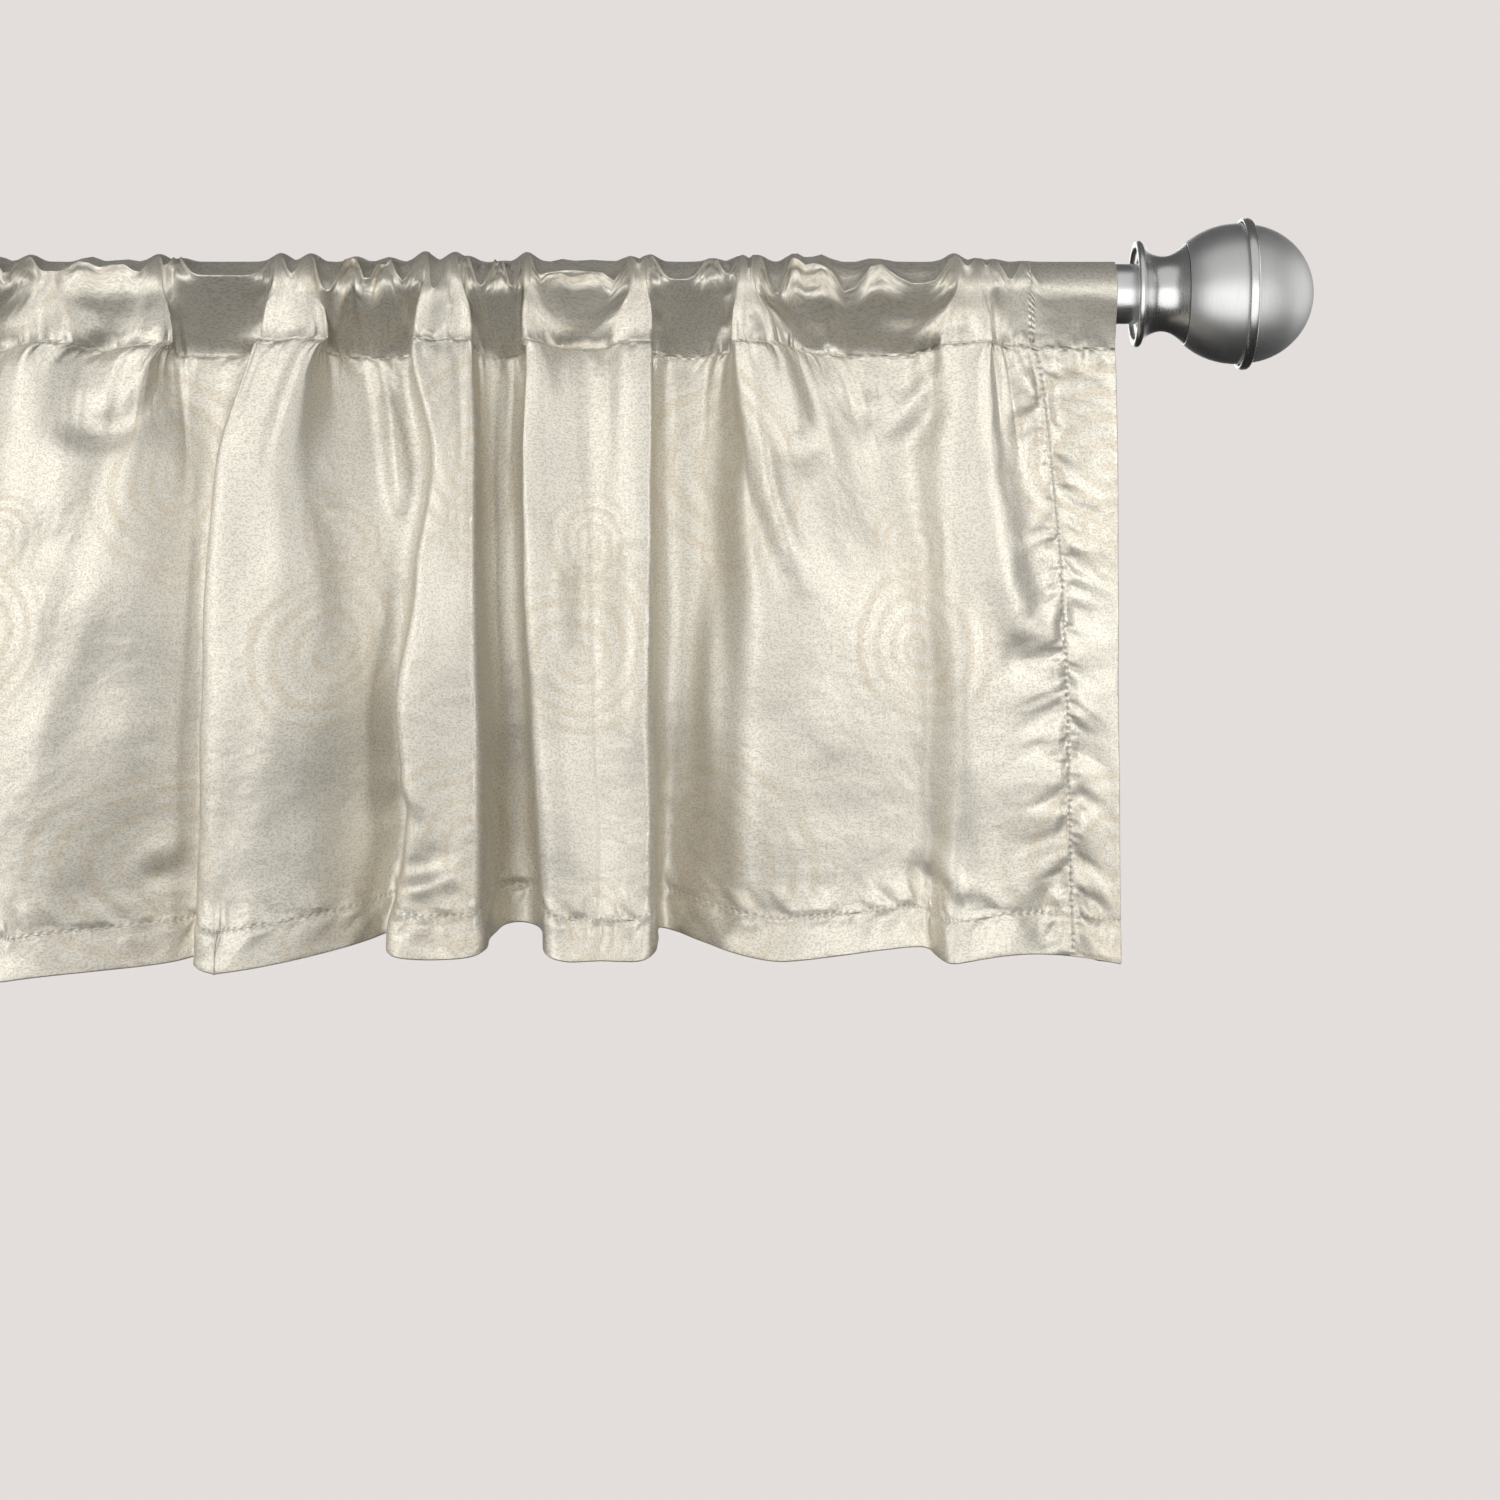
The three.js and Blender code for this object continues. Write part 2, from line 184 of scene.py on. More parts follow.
class Nodes:
    """The node tree of one material, with short calls to add and join its nodes."""

    def __init__(self, name: str) -> None:
        """Starts a material with a plain Principled shader.

        Args:
            name: the material's name.
        """
        self.material = bpy.data.materials.new(name)
        self.material.use_nodes = True
        self.tree = self.material.node_tree
        self.shader = self.tree.nodes["Principled BSDF"]

    def plug(self, socket: Socket, value: Value) -> None:
        """Joins a socket to an output, or sets its own value.

        Args:
            socket: the input to feed.
            value: an output, or a plain value.
        """
        if isinstance(value, bpy.types.NodeSocket):
            self.tree.links.new(value, socket)
        else:
            socket.default_value = value

    def add(self, kind: str, settings: dict | None = None, **inputs: Value) -> bpy.types.Node:
        """Adds a node.

        Args:
            kind: the node's type name.
            settings: its own properties.
            inputs: values or outputs for its inputs, with _ for a space in their names.

        Returns:
            The new node.
        """
        node = self.tree.nodes.new(kind)
        for key, value in (settings or {}).items():
            setattr(node, key, value)
        for key, value in inputs.items():
            self.plug(node.inputs[key.replace("_", " ")], value)
        return node

    def math(self, operation: str, *values: Value) -> Socket:
        """Adds a Math node.

        Args:
            operation: what it works out.
            values: values or outputs for its inputs.

        Returns:
            Its result.
        """
        node = self.add("ShaderNodeMath", {"operation": operation})
        for socket, value in zip(node.inputs, values):
            self.plug(socket, value)
        return node.outputs[0]

    def vector(self, operation: str, *values: Value) -> Socket:
        """Adds a Vector Math node.

        Args:
            operation: what it works out.
            values: values or outputs for its inputs.

        Returns:
            Its result, a number for LENGTH and else a vector.
        """
        node = self.add("ShaderNodeVectorMath", {"operation": operation})
        for socket, value in zip(node.inputs, values):
            self.plug(socket, value)
        return node.outputs["Value" if operation == "LENGTH" else "Vector"]

    def step(self, value: Value, low: float, high: float) -> Socket:
        """A smooth step from 0 to 1.

        Args:
            value: the value to work on.
            low: where the step starts.
            high: where it ends, which may be the smaller of the two.

        Returns:
            The step's height.
        """
        node = self.add("ShaderNodeMapRange", {"interpolation_type": "SMOOTHSTEP"})
        for socket, given in zip(node.inputs, (value, low, high, 0.0, 1.0)):
            self.plug(socket, given)
        return node.outputs[0]

    def span(self, value: Value, low: float, high: float) -> Socket:
        """A value from 0 to 1 stretched to run from low to high."""
        return self.math("MULTIPLY_ADD", value, high - low, low)

    def mix(self, share: Value, first: Value, second: Value) -> Socket:
        """A colour between two colours.

        Args:
            share: the share of the second one.
            first: the first colour.
            second: the second colour.

        Returns:
            The mixed colour.
        """
        node = self.add("ShaderNodeMix", {"data_type": "RGBA"})
        self.plug(node.inputs["Factor"], share)
        self.plug(node.inputs[6], first)
        self.plug(node.inputs[7], second)
        return node.outputs[2]

    def noise(self, vector: Socket, scale: float, detail: float = 2.0) -> Socket:
        """Noise from 0 to 1 on a vector."""
        return self.add("ShaderNodeTexNoise", None, Vector=vector, Scale=scale, Detail=detail).outputs[0]

    def scaled(self, vector: Socket, scale: Triple) -> Socket:
        """A vector with each part scaled by a Mapping node."""
        return self.add("ShaderNodeMapping", None, Vector=vector, Scale=scale).outputs[0]

    def place(self) -> Socket:
        """Object coordinates."""
        return self.add("ShaderNodeTexCoord").outputs["Object"]

    def parts(self, vector: Socket) -> tuple[Socket, Socket]:
        """The first two parts of a vector."""
        node = self.add("ShaderNodeSeparateXYZ", None, Vector=vector)
        return node.outputs[0], node.outputs[1]

    def raised(self, height: Socket, depth: float, strength: float = 1.0) -> bpy.types.Node:
        """A Bump node for a height that runs from 0 to 1 over a depth in metres."""
        return self.add("ShaderNodeBump", None, Height=height, Distance=depth, Strength=strength)

    def finish(self, **inputs: Value) -> bpy.types.Material:
        """Sets the shader's inputs.

        Args:
            inputs: values or outputs for its inputs, with _ for a space in their names.

        Returns:
            The finished material.
        """
        for key, value in inputs.items():
            self.plug(self.shader.inputs[key.replace("_", " ")], value)
        return self.material


@dataclass(frozen=True)
class ScrollRepeat:
    """One volute of the print, in metres on the flat cloth.

    It has a repeat, a place in it, a radius, the pitch of its turns and the direction they run in.
    """

    repeat: Pair
    place: Pair
    radius: float
    pitch: float
    turn: float


@dataclass(frozen=True)
class Puckering:
    """Puckers along a line of stitches.

    They have a pitch along it, and a length and a reach away from it, in metres, a slant, and a depth in mm.
    """

    pitch: float
    length: float
    reach: float
    slant: float
    depth: float


@dataclass(frozen=True)
class SatinFinish:
    """Ivory satin: a semi-bright face, the weave's grain, a faint scroll print and puckers at the seams."""

    slot: str = "satin"
    colour: Colour = (0.775, 0.735, 0.64, 1)
    print_colour: Colour = (0.75, 0.68, 0.56, 1)
    speck_colour: Colour = (0.48, 0.44, 0.365, 1)
    cloud_colour: Colour = (0.70, 0.69, 0.63, 1)
    scrolls: tuple[ScrollRepeat, ...] = (
        ScrollRepeat((0.188, 0.171), (0.0, 0.0), 0.054, 0.0095, 1.0),
        ScrollRepeat((0.188, 0.171), (0.094, 0.078), 0.046, 0.0085, -1.0),
        ScrollRepeat((0.094, 0.171), (0.041, 0.034), 0.026, 0.0065, 1.0),
    )
    scroll_sway: float = 0.026
    sway_scale: float = 12.0
    line_edge: Pair = (0.28, 0.16)
    rim_from: float = 0.72
    wear_scale: float = 55.0
    wear_step: Pair = (0.35, 0.6)
    wear_span: Pair = (0.4, 1.0)
    fleck_scale: float = 1150.0
    fleck_stretch: Triple = (1.0, 1.2, 1.0)
    fleck_share: float = 0.72
    slub_scale: float = 560.0
    slub_share: float = 0.28
    float_scale: Triple = (260.0, 5200.0, 1.0)
    cloud_scale: float = 34.0
    cloud_share: float = 0.12
    speck_step: Pair = (0.46, 0.59)
    speck_share: float = 0.62
    roughness: Pair = (0.42, 0.59)
    print_roughness: float = 0.04
    weave_shares: Pair = (0.65, 0.35)
    weave_depth: float = 0.0002
    weave_strength: float = 0.6
    stitch_pitch: float = 0.0029
    pinch_reach: float = 0.0016
    pinch_span: Pair = (0.5, 1.0)
    pinch_depth: float = -0.28
    crumple: float = 0.5
    crumple_scale: float = 95.0
    crumple_detail: float = 2.5
    wedge_step: Pair = (0.3, 0.7)
    wedge_detail: float = 0.8
    far_side: float = 7.3
    pinned_share: float = 0.22
    full_within: float = 0.001
    side_fade: float = 0.03
    seam_fade: float = 0.012
    side_puckers: Puckering = Puckering(0.0130, 0.045, 0.030, 0.35, 1.9)
    side_dimples: Puckering = Puckering(0.0055, 0.02, 0.010, 0.2, 0.55)
    hem_puckers: Puckering = Puckering(0.0095, 0.03, 0.018, 0.5, 1.0)
    seam_puckers: Puckering = Puckering(0.0045, 0.02, 0.012, 0.1, 0.8)
    gathers: Puckering = Puckering(0.0065, 0.06, 0.034, 0.0, 0.12)
    metallic: float = 0.65
    specular: float = 0.5
    sheen: float = 0.12
    sheen_roughness: float = 0.4

    def scroll_lines(self, nodes: Nodes, flat: Socket) -> Socket:
        """The print's lines: for each volute, bands of equal turn + radius / pitch, fading at its rim.

        Args:
            nodes: the material's nodes.
            flat: places on the flat cloth, in metres.

        Returns:
            1 on a line and 0 between lines.
        """
        total: Value = 0.0
        noise = nodes.add("ShaderNodeTexNoise", None, Vector=flat, Scale=self.sway_scale, Detail=1.0)
        reach = (self.scroll_sway, self.scroll_sway, 0.0)
        swayed = nodes.vector("MULTIPLY_ADD", noise.outputs["Color"], reach, flat)
        for scroll in self.scrolls:
            repeat = (*scroll.repeat, 1.0)
            moved = nodes.vector("ADD", swayed, (*scroll.place, 0.0))
            cell = nodes.vector("FRACTION", nodes.vector("DIVIDE", moved, repeat))
            local = nodes.vector("MULTIPLY", nodes.vector("SUBTRACT", cell, (0.5, 0.5, 0.0)), repeat)
            x, y = nodes.parts(local)
            radius = nodes.vector("LENGTH", nodes.vector("MULTIPLY", local, (1.0, 1.0, 0.0)))
            turns = nodes.math("MULTIPLY", nodes.math("ARCTAN2", y, x), scroll.turn / (2 * math.pi))
            phase = nodes.math("FRACT", nodes.math("ADD", turns, nodes.math("DIVIDE", radius, scroll.pitch)))
            band = nodes.math("ABSOLUTE", nodes.math("SUBTRACT", phase, 0.5))
            line = nodes.step(band, *self.line_edge)
            fade = nodes.step(radius, scroll.radius, self.rim_from * scroll.radius)
            total = nodes.math("MAXIMUM", total, nodes.math("MULTIPLY", line, fade))
        return total

    def pinches(self, nodes: Nodes, flat: Socket, across: list[float], along: list[float]) -> Socket:
        """Pinches of the cloth at each stitch: a wave along the stitching, in a narrow band on its line.

        Args:
            nodes: the material's nodes.
            flat: places on the flat cloth, in metres.
            across: the lines that run across the cloth, by their place along it.
            along: the lines that run along the cloth, by their place across it.

        Returns:
            The height of the pinches, from 0 to 1.
        """
        u, v = nodes.parts(flat)
        total: Value = 0.0
        for lines, own, other in ((across, v, u), (along, u, v)):
            turn = nodes.math("MULTIPLY", other, 2 * math.pi / self.stitch_pitch)
            height = nodes.span(nodes.math("COSINE", turn), *self.pinch_span)
            for line in lines:
                off = nodes.math("ABSOLUTE", nodes.math("SUBTRACT", own, line))
                band = nodes.step(off, self.pinch_reach, 0.0)
                total = nodes.math("MAXIMUM", total, nodes.math("MULTIPLY", band, height))
        return total

    def puckers(self, nodes: Nodes, off: Socket, run: Socket, puckered: Puckering) -> Socket:
        """Puckers along a line of stitches: noise drawn out away from the line, pinned on it and fading away.

        Args:
            nodes: the material's nodes.
            off: distance from the line, in metres, below 0 on one side.
            run: place along the line, in metres.
            puckered: the puckers' sizes.

        Returns:
            Their height, in mm.
        """
        beside = nodes.math("ABSOLUTE", off)
        slanted = nodes.math("MULTIPLY_ADD", beside, puckered.slant, run)
        place = nodes.add("ShaderNodeCombineXYZ")
        nodes.plug(place.inputs[0], nodes.math("DIVIDE", off, puckered.length))
        nodes.plug(place.inputs[1], nodes.math("DIVIDE", slanted, puckered.pitch))
        nodes.plug(place.inputs[2], nodes.math("MULTIPLY", nodes.math("SIGN", off), self.far_side))
        noise = nodes.noise(place.outputs[0], 1.0, self.wedge_detail)
        wedge = nodes.math("SUBTRACT", nodes.step(noise, *self.wedge_step), 0.5)
        out = nodes.step(beside, puckered.reach, self.full_within)
        pinned = nodes.step(beside, 0.0, self.pinned_share * puckered.reach)
        fade = nodes.math("MULTIPLY", out, pinned)
        return nodes.math("MULTIPLY", nodes.math("MULTIPLY", wedge, fade), puckered.depth)

    def relief(self, nodes: Nodes, flat: Socket, across: list[float], along: list[float]) -> Socket:
        """Height of the pinches, the puckers and a soft crumple of the cloth.

        Args:
            nodes: the material's nodes.
            flat: places on the flat cloth, in metres.
            across: stitch lines across the cloth, by their place along it: the hem's and the seam's.
            along: stitch lines along the cloth, by their place across it: the left and the right.

        Returns:
            The height, in mm.
        """
        u, v = nodes.parts(flat)
        (hem, seam), side = across, along[1]
        from_middle = nodes.math("ABSOLUTE", u)
        inside = nodes.step(from_middle, side, side - self.side_fade)
        below = nodes.step(v, seam, seam - self.seam_fade)
        above = nodes.step(v, seam, seam + self.seam_fade)
        height = nodes.math("MULTIPLY", self.pinches(nodes, flat, across, along), self.pinch_depth)
        from_side = nodes.math("SUBTRACT", from_middle, side)
        for puckered in (self.side_puckers, self.side_dimples):
            height = nodes.math("MULTIPLY_ADD", self.puckers(nodes, from_side, v, puckered), below, height)
        from_hem, from_seam = nodes.math("SUBTRACT", v, hem), nodes.math("SUBTRACT", v, seam)
        for off, puckered in ((from_hem, self.hem_puckers), (from_seam, self.seam_puckers)):
            height = nodes.math("ADD", height, self.puckers(nodes, off, u, puckered))
        gathers = self.puckers(nodes, from_seam, u, self.gathers)
        height = nodes.math("MULTIPLY_ADD", gathers, nodes.math("MULTIPLY", inside, above), height)
        uneven = nodes.noise(flat, self.crumple_scale, self.crumple_detail)
        return nodes.math("MULTIPLY_ADD", uneven, self.crumple, height)

    def material(self, across: list[float], along: list[float]) -> bpy.types.Material:
        """The satin's material.

        Args:
            across: stitch lines across the cloth, by their place along it in metres.
            along: stitch lines along the cloth, by their place across it in metres.

        Returns:
            The finished material.
        """
        nodes = Nodes("ivory_satin")
        flat = nodes.add("ShaderNodeUVMap", {"uv_map": Valance.FLAT_MAP}).outputs[0]
        fleck = nodes.noise(nodes.scaled(flat, self.fleck_stretch), self.fleck_scale, detail=3.0)
        slub = nodes.math("MULTIPLY", nodes.noise(flat, self.slub_scale), self.slub_share)
        grain = nodes.math("MULTIPLY_ADD", fleck, self.fleck_share, slub)
        floats = nodes.noise(nodes.scaled(flat, self.float_scale), 1.0, detail=1.0)
        cloud = nodes.noise(flat, self.cloud_scale, detail=3.0)
        lines = self.scroll_lines(nodes, flat)
        wear = nodes.span(nodes.step(nodes.noise(flat, self.wear_scale), *self.wear_step), *self.wear_span)
        printed = nodes.mix(nodes.math("MULTIPLY", lines, wear), self.colour, self.print_colour)
        speck = nodes.math("MULTIPLY", nodes.step(grain, *self.speck_step), self.speck_share)
        shaded = nodes.mix(speck, printed, self.speck_colour)
        toned = nodes.mix(nodes.math("MULTIPLY", cloud, self.cloud_share), shaded, self.cloud_colour)
        dulled = nodes.math("MULTIPLY", lines, self.print_roughness)
        rough = nodes.math("ADD", nodes.span(grain, *self.roughness), dulled)
        of_grain, of_floats = self.weave_shares
        weave = nodes.math("MULTIPLY_ADD", grain, of_grain, nodes.math("MULTIPLY", floats, of_floats))
        fine = nodes.raised(weave, self.weave_depth, self.weave_strength)
        deep = nodes.raised(self.relief(nodes, flat, across, along), MM)
        nodes.plug(deep.inputs["Normal"], fine.outputs[0])
        return nodes.finish(
            Base_Color=toned,
            Roughness=rough,
            Normal=deep.outputs[0],
            Metallic=self.metallic,
            Specular_IOR_Level=self.specular,
            Sheen_Weight=self.sheen,
            Sheen_Roughness=self.sheen_roughness,
        )


@dataclass(frozen=True)
class ThreadFinish:
    """Sewing thread a little lighter than the cloth, with the twist of its strands."""

    slot: str = "satin"
    colour: Colour = (0.80, 0.77, 0.69, 1)
    dark: Colour = (0.60, 0.56, 0.47, 1)
    strand_scale: float = 5200.0
    strand_depth: float = 0.0001
    roughness: Pair = (0.35, 0.6)
    sheen: float = 0.2

    def material(self) -> bpy.types.Material:
        """The thread's material: noise as fine as the strands, in its colour, its gloss and its height.

        Returns:
            The finished material.
        """
        nodes = Nodes("sewing_thread")
        strands = nodes.noise(nodes.place(), self.strand_scale, detail=1.0)
        return nodes.finish(
            Base_Color=nodes.mix(strands, self.dark, self.colour),
            Roughness=nodes.span(strands, *self.roughness),
            Normal=nodes.raised(strands, self.strand_depth).outputs[0],
            Sheen_Weight=self.sheen,
        )


@dataclass(frozen=True)
class MetalFinish:
    """Plated metal with fine rings from turning, cloudy gloss and small marks."""

    name: str
    slot: str
    colour: Colour
    dull: Colour
    roughness: Pair
    ring_depth: float
    ring_scale: Triple = (2900.0, 90.0, 90.0)
    grain_scale: float = 1500.0
    cloud_scale: float = 60.0
    main_share: float = 0.6
    other_share: float = 0.4
    gloss_step: Pair = (0.3, 0.7)

    def material(self) -> bpy.types.Material:
        """The metal's material: rings are noise drawn out round the axis, and clouds are broad noise.

        Returns:
            The finished material.
        """
        nodes = Nodes(self.name)
        place = nodes.place()

        def blend(main: Socket, other: Socket) -> Socket:
            """A main pattern with a share of another."""
            added = nodes.math("MULTIPLY", other, self.other_share)
            return nodes.math("MULTIPLY_ADD", main, self.main_share, added)

        rings = nodes.noise(nodes.scaled(place, self.ring_scale), 1.0)
        marks = blend(rings, nodes.noise(place, self.grain_scale))
        cloud = nodes.noise(place, self.cloud_scale, detail=4.0)
        gloss = nodes.step(blend(marks, cloud), *self.gloss_step)
        return nodes.finish(
            Base_Color=nodes.mix(nodes.math("MULTIPLY", marks, self.main_share), self.colour, self.dull),
            Roughness=nodes.span(gloss, *self.roughness),
            Normal=nodes.raised(marks, self.ring_depth).outputs[0],
            Metallic=1.0,
        )


BRUSHED_NICKEL = MetalFinish(
    "brushed_nickel", "brushed_nickel", (0.78, 0.78, 0.775, 1), (0.64, 0.64, 0.635, 1), (0.36, 0.48), 0.00004
)
SATIN_NICKEL = MetalFinish(
    "satin_nickel", "brushed_nickel", (0.72, 0.72, 0.715, 1), (0.58, 0.58, 0.575, 1), (0.45, 0.58), 0.00005
)
POLISHED_NICKEL = MetalFinish(
    "polished_nickel", "polished_nickel", (0.82, 0.82, 0.81, 1), (0.72, 0.72, 0.71, 1), (0.24, 0.34), 0.00001
)
ROD_STEEL = MetalFinish(
    "rod_steel", "rod_steel", (0.90, 0.90, 0.91, 1), (0.82, 0.82, 0.83, 1), (0.26, 0.36), 0.00001
)


# Cloth


@dataclass(frozen=True)
class Fold:
    """One forward fold of the skirt, in mm. A pair is of sides (left, right) or of levels (seam, hem).

    Attributes:
        seam: where its face starts and ends along the rod at the seam.
        hem: where its face starts and ends at the hem.
        depth: how far it stands forward at the two levels.
        run: how far its sides run into the valleys at the hem, below 0 where a side is tucked under.
        drop: how far its hem lies below the rod's axis.
        valley: how far forward the next valley on its right lies at the two levels.
        fill: how far that valley comes forward part of the way down, and by what share of the drop.
        slump: how far its face falls back part of the way down, below 0 where it comes forward.
        crisp: the rounding at the hem of the sides that are crisp at the seam, None for soft sides.
        sway: how far its sides sway to the right at four steps down from the seam.
    """

    seam: Pair
    hem: Pair
    depth: Pair
    run: Pair
    drop: float
    valley: Pair
    fill: Pair
    slump: float
    crisp: tuple[float | None, float | None]
    sway: tuple[tuple[float, ...], tuple[float, ...]]


FOLDS = (
    Fold(
        seam=(-421, -399), hem=(-416, -377), depth=(15, 25), run=(22, 12), drop=284.0,
        valley=(2, 8), fill=(8, 0.5), slump=-3, crisp=(14, None),
        sway=((-4, -6, -6, -3), (-5, -6, -4, -1)),
    ),
    Fold(
        seam=(-338, -309), hem=(-346, -312), depth=(18, 34), run=(14, 8), drop=283.0,
        valley=(3, 6), fill=(10, 0.5), slump=-4, crisp=(None, 16),
        sway=((2, 4, 3, 0), (3, 3, 1, 0)),
    ),
    Fold(
        seam=(-276, -243), hem=(-281, -238), depth=(17, 38), run=(-5, 12), drop=283.5,
        valley=(0, 0), fill=(12, 0.5), slump=-4, crisp=(12, None),
        sway=((-8, -4, 3, 1), (-2, -3, -3, 0)),
    ),
    Fold(
        seam=(-205, -182), hem=(-212, -171), depth=(20, 39), run=(10, -5), drop=285.0,
        valley=(2, 0), fill=(12, 0.5), slump=-4, crisp=(None, 11),
        sway=((2, 2, 1, 0), (8, 2, -4, 1)),
    ),
    Fold(
        seam=(-140, -112), hem=(-152, -116), depth=(18, 36), run=(8, 10), drop=287.0,
        valley=(3, 6), fill=(12, 0.5), slump=-4, crisp=(18, None),
        sway=((3, 2, -2, 0), (-2, 0, 2, 1)),
    ),
    Fold(
        seam=(-75, -52), hem=(-92, -64), depth=(15, 30), run=(12, 12), drop=288.5,
        valley=(4, 8), fill=(14, 0.5), slump=-4, crisp=(None, 18),
        sway=((3, 3, 2, 0), (2, 3, 3, 1)),
    ),
    Fold(
        seam=(13, 34), hem=(-34, -12), depth=(16, 30), run=(10, 5), drop=290.0,
        valley=(9, 30.5), fill=(6, 0.2), slump=-3, crisp=(None, None),
        sway=((10, 7, 2, 0), (9, 7, 3, 0)),
    ),
    Fold(
        seam=(62, 76), hem=(6, 27), depth=(14, 31), run=(6, 56), drop=290.5,
        valley=(1, 13), fill=(9, 0.35), slump=-3, crisp=(None, 20),
        sway=((8, 5, 2, 0), (7, 5, 3, 0)),
    ),
    Fold(
        seam=(113, 142), hem=(83, 118), depth=(18, 38), run=(-4, 44), drop=287.0,
        valley=(0, 5), fill=(11, 0.3), slump=-2, crisp=(16, 26),
        sway=((-7, -6, -3, -1), (-2, 4, 8, 6)),
    ),
    Fold(
        seam=(177, 203), hem=(166, 212), depth=(20, 40), run=(-4, -3), drop=280.7,
        valley=(0, 3), fill=(12, 0.5), slump=-4, crisp=(7, 14),
        sway=((13, 7, 1, 5), (-1, -1, 0, 0)),
    ),
    Fold(
        seam=(222, 228), hem=(229, 246), depth=(18, 40), run=(-5, 12), drop=281.5,
        valley=(9, 39), fill=(0, 0.3), slump=-4, crisp=(13, None),
        sway=((-5, -5, -3, -1), (-3, -3, -2, 0)),
    ),
    Fold(
        seam=(265, 279), hem=(268, 281), depth=(18, 40), run=(12, -4), drop=281.5,
        valley=(1, 3), fill=(8, 0.5), slump=-4, crisp=(None, 8),
        sway=((0, 0, 0, 0), (0, 0, -1, 0)),
    ),
    Fold(
        seam=(310, 325), hem=(312, 340), depth=(17, 30), run=(24, 54), drop=282.0,
        valley=(2, 13), fill=(9, 0.5), slump=-4, crisp=(16, None),
        sway=((2, 6, 4, 2), (4, 8, 6, 2)),
    ),
    Fold(
        seam=(400, 421), hem=(402, 420), depth=(16, 25), run=(7, 26), drop=283.5,
        valley=(13, 13), fill=(8, 0.5), slump=-3, crisp=(None, 14),
        sway=((-3, 0, 2, 1), (1, 3, 3, 1)),
    ),
)


@dataclass(frozen=True)
class Pleat:
    """One pleat of the pocket, in mm.

    It has a place on the rod, a crest that stands up by its lift, and to its right a lip of the cloth that
    hangs at a height above the rod's axis.
    """

    at: float
    lift: float
    lip: float


PLEATS = (
    Pleat(-452, 0.2, 3.0),
    Pleat(-440, 1.6, 2.0),
    Pleat(-425, 2.6, 4.0),
    Pleat(-412, 3.4, 9.0),
    Pleat(-398, 3.6, -2.0),
    Pleat(-374, 2.4, 2.0),
    Pleat(-352, 1.8, -8.0),
    Pleat(-338, 3.4, 8.0),
    Pleat(-322, 3.0, 4.0),
    Pleat(-308, 3.8, -3.0),
    Pleat(-287, 2.4, 1.0),
    Pleat(-275, 3.4, -12.0),
    Pleat(-258, 2.8, 9.0),
    Pleat(-243, 4.0, 3.0),
    Pleat(-222, 1.6, -6.0),
    Pleat(-205, 3.4, 8.0),
    Pleat(-193, 3.8, 0.0),
    Pleat(-180, 2.6, -10.0),
    Pleat(-164, 3.2, 3.0),
    Pleat(-141, 2.8, -2.0),
    Pleat(-127, 4.0, 9.0),
    Pleat(-112, 3.0, 4.0),
    Pleat(-92, 2.2, -7.0),
    Pleat(-75, 3.6, 8.0),
    Pleat(-62, 3.0, 0.0),
    Pleat(-50, 3.6, 4.0),
    Pleat(-19, 1.8, -4.0),
    Pleat(0, 2.6, 3.0),
    Pleat(13.6, 3.2, 7.6),
    Pleat(39, 2.4, 3.4),
    Pleat(54, 1.2, 3.4),
    Pleat(68.4, 3.2, 10.0),
    Pleat(77.8, 1.6, 4.7),
    Pleat(120.3, 3.8, 5.0),
    Pleat(132.6, 3.8, -2.0),
    Pleat(151.7, 2.6, -0.4),
    Pleat(165.8, 2.3, 0.4),
    Pleat(181, 4.6, -1.3),
    Pleat(193.8, 4.4, 10.0),
    Pleat(199, 2.6, -1.3),
    Pleat(213.8, 0.8, -2.0),
    Pleat(224.4, 4.2, 1.3),
    Pleat(240.1, 1.6, -14.0),
    Pleat(253.5, 1.2, -6.0),
    Pleat(268, 2.6, 11.0),
    Pleat(276.3, 3.2, 3.0),
    Pleat(303, 1.8, 5.0),
    Pleat(315, 2.8, 8.5),
    Pleat(321.7, 3.2, -4.3),
    Pleat(337.9, 3.6, 3.0),
    Pleat(348.5, 3.2, -5.5),
    Pleat(371.5, 1.8, 1.3),
    Pleat(405, 3.8, 10.0),
    Pleat(415.2, 1.8, 9.0),
    Pleat(421.6, 1.4, 1.7),
    Pleat(434.4, 0.6, 2.5),
    Pleat(446, 0.0, 3.0),
)


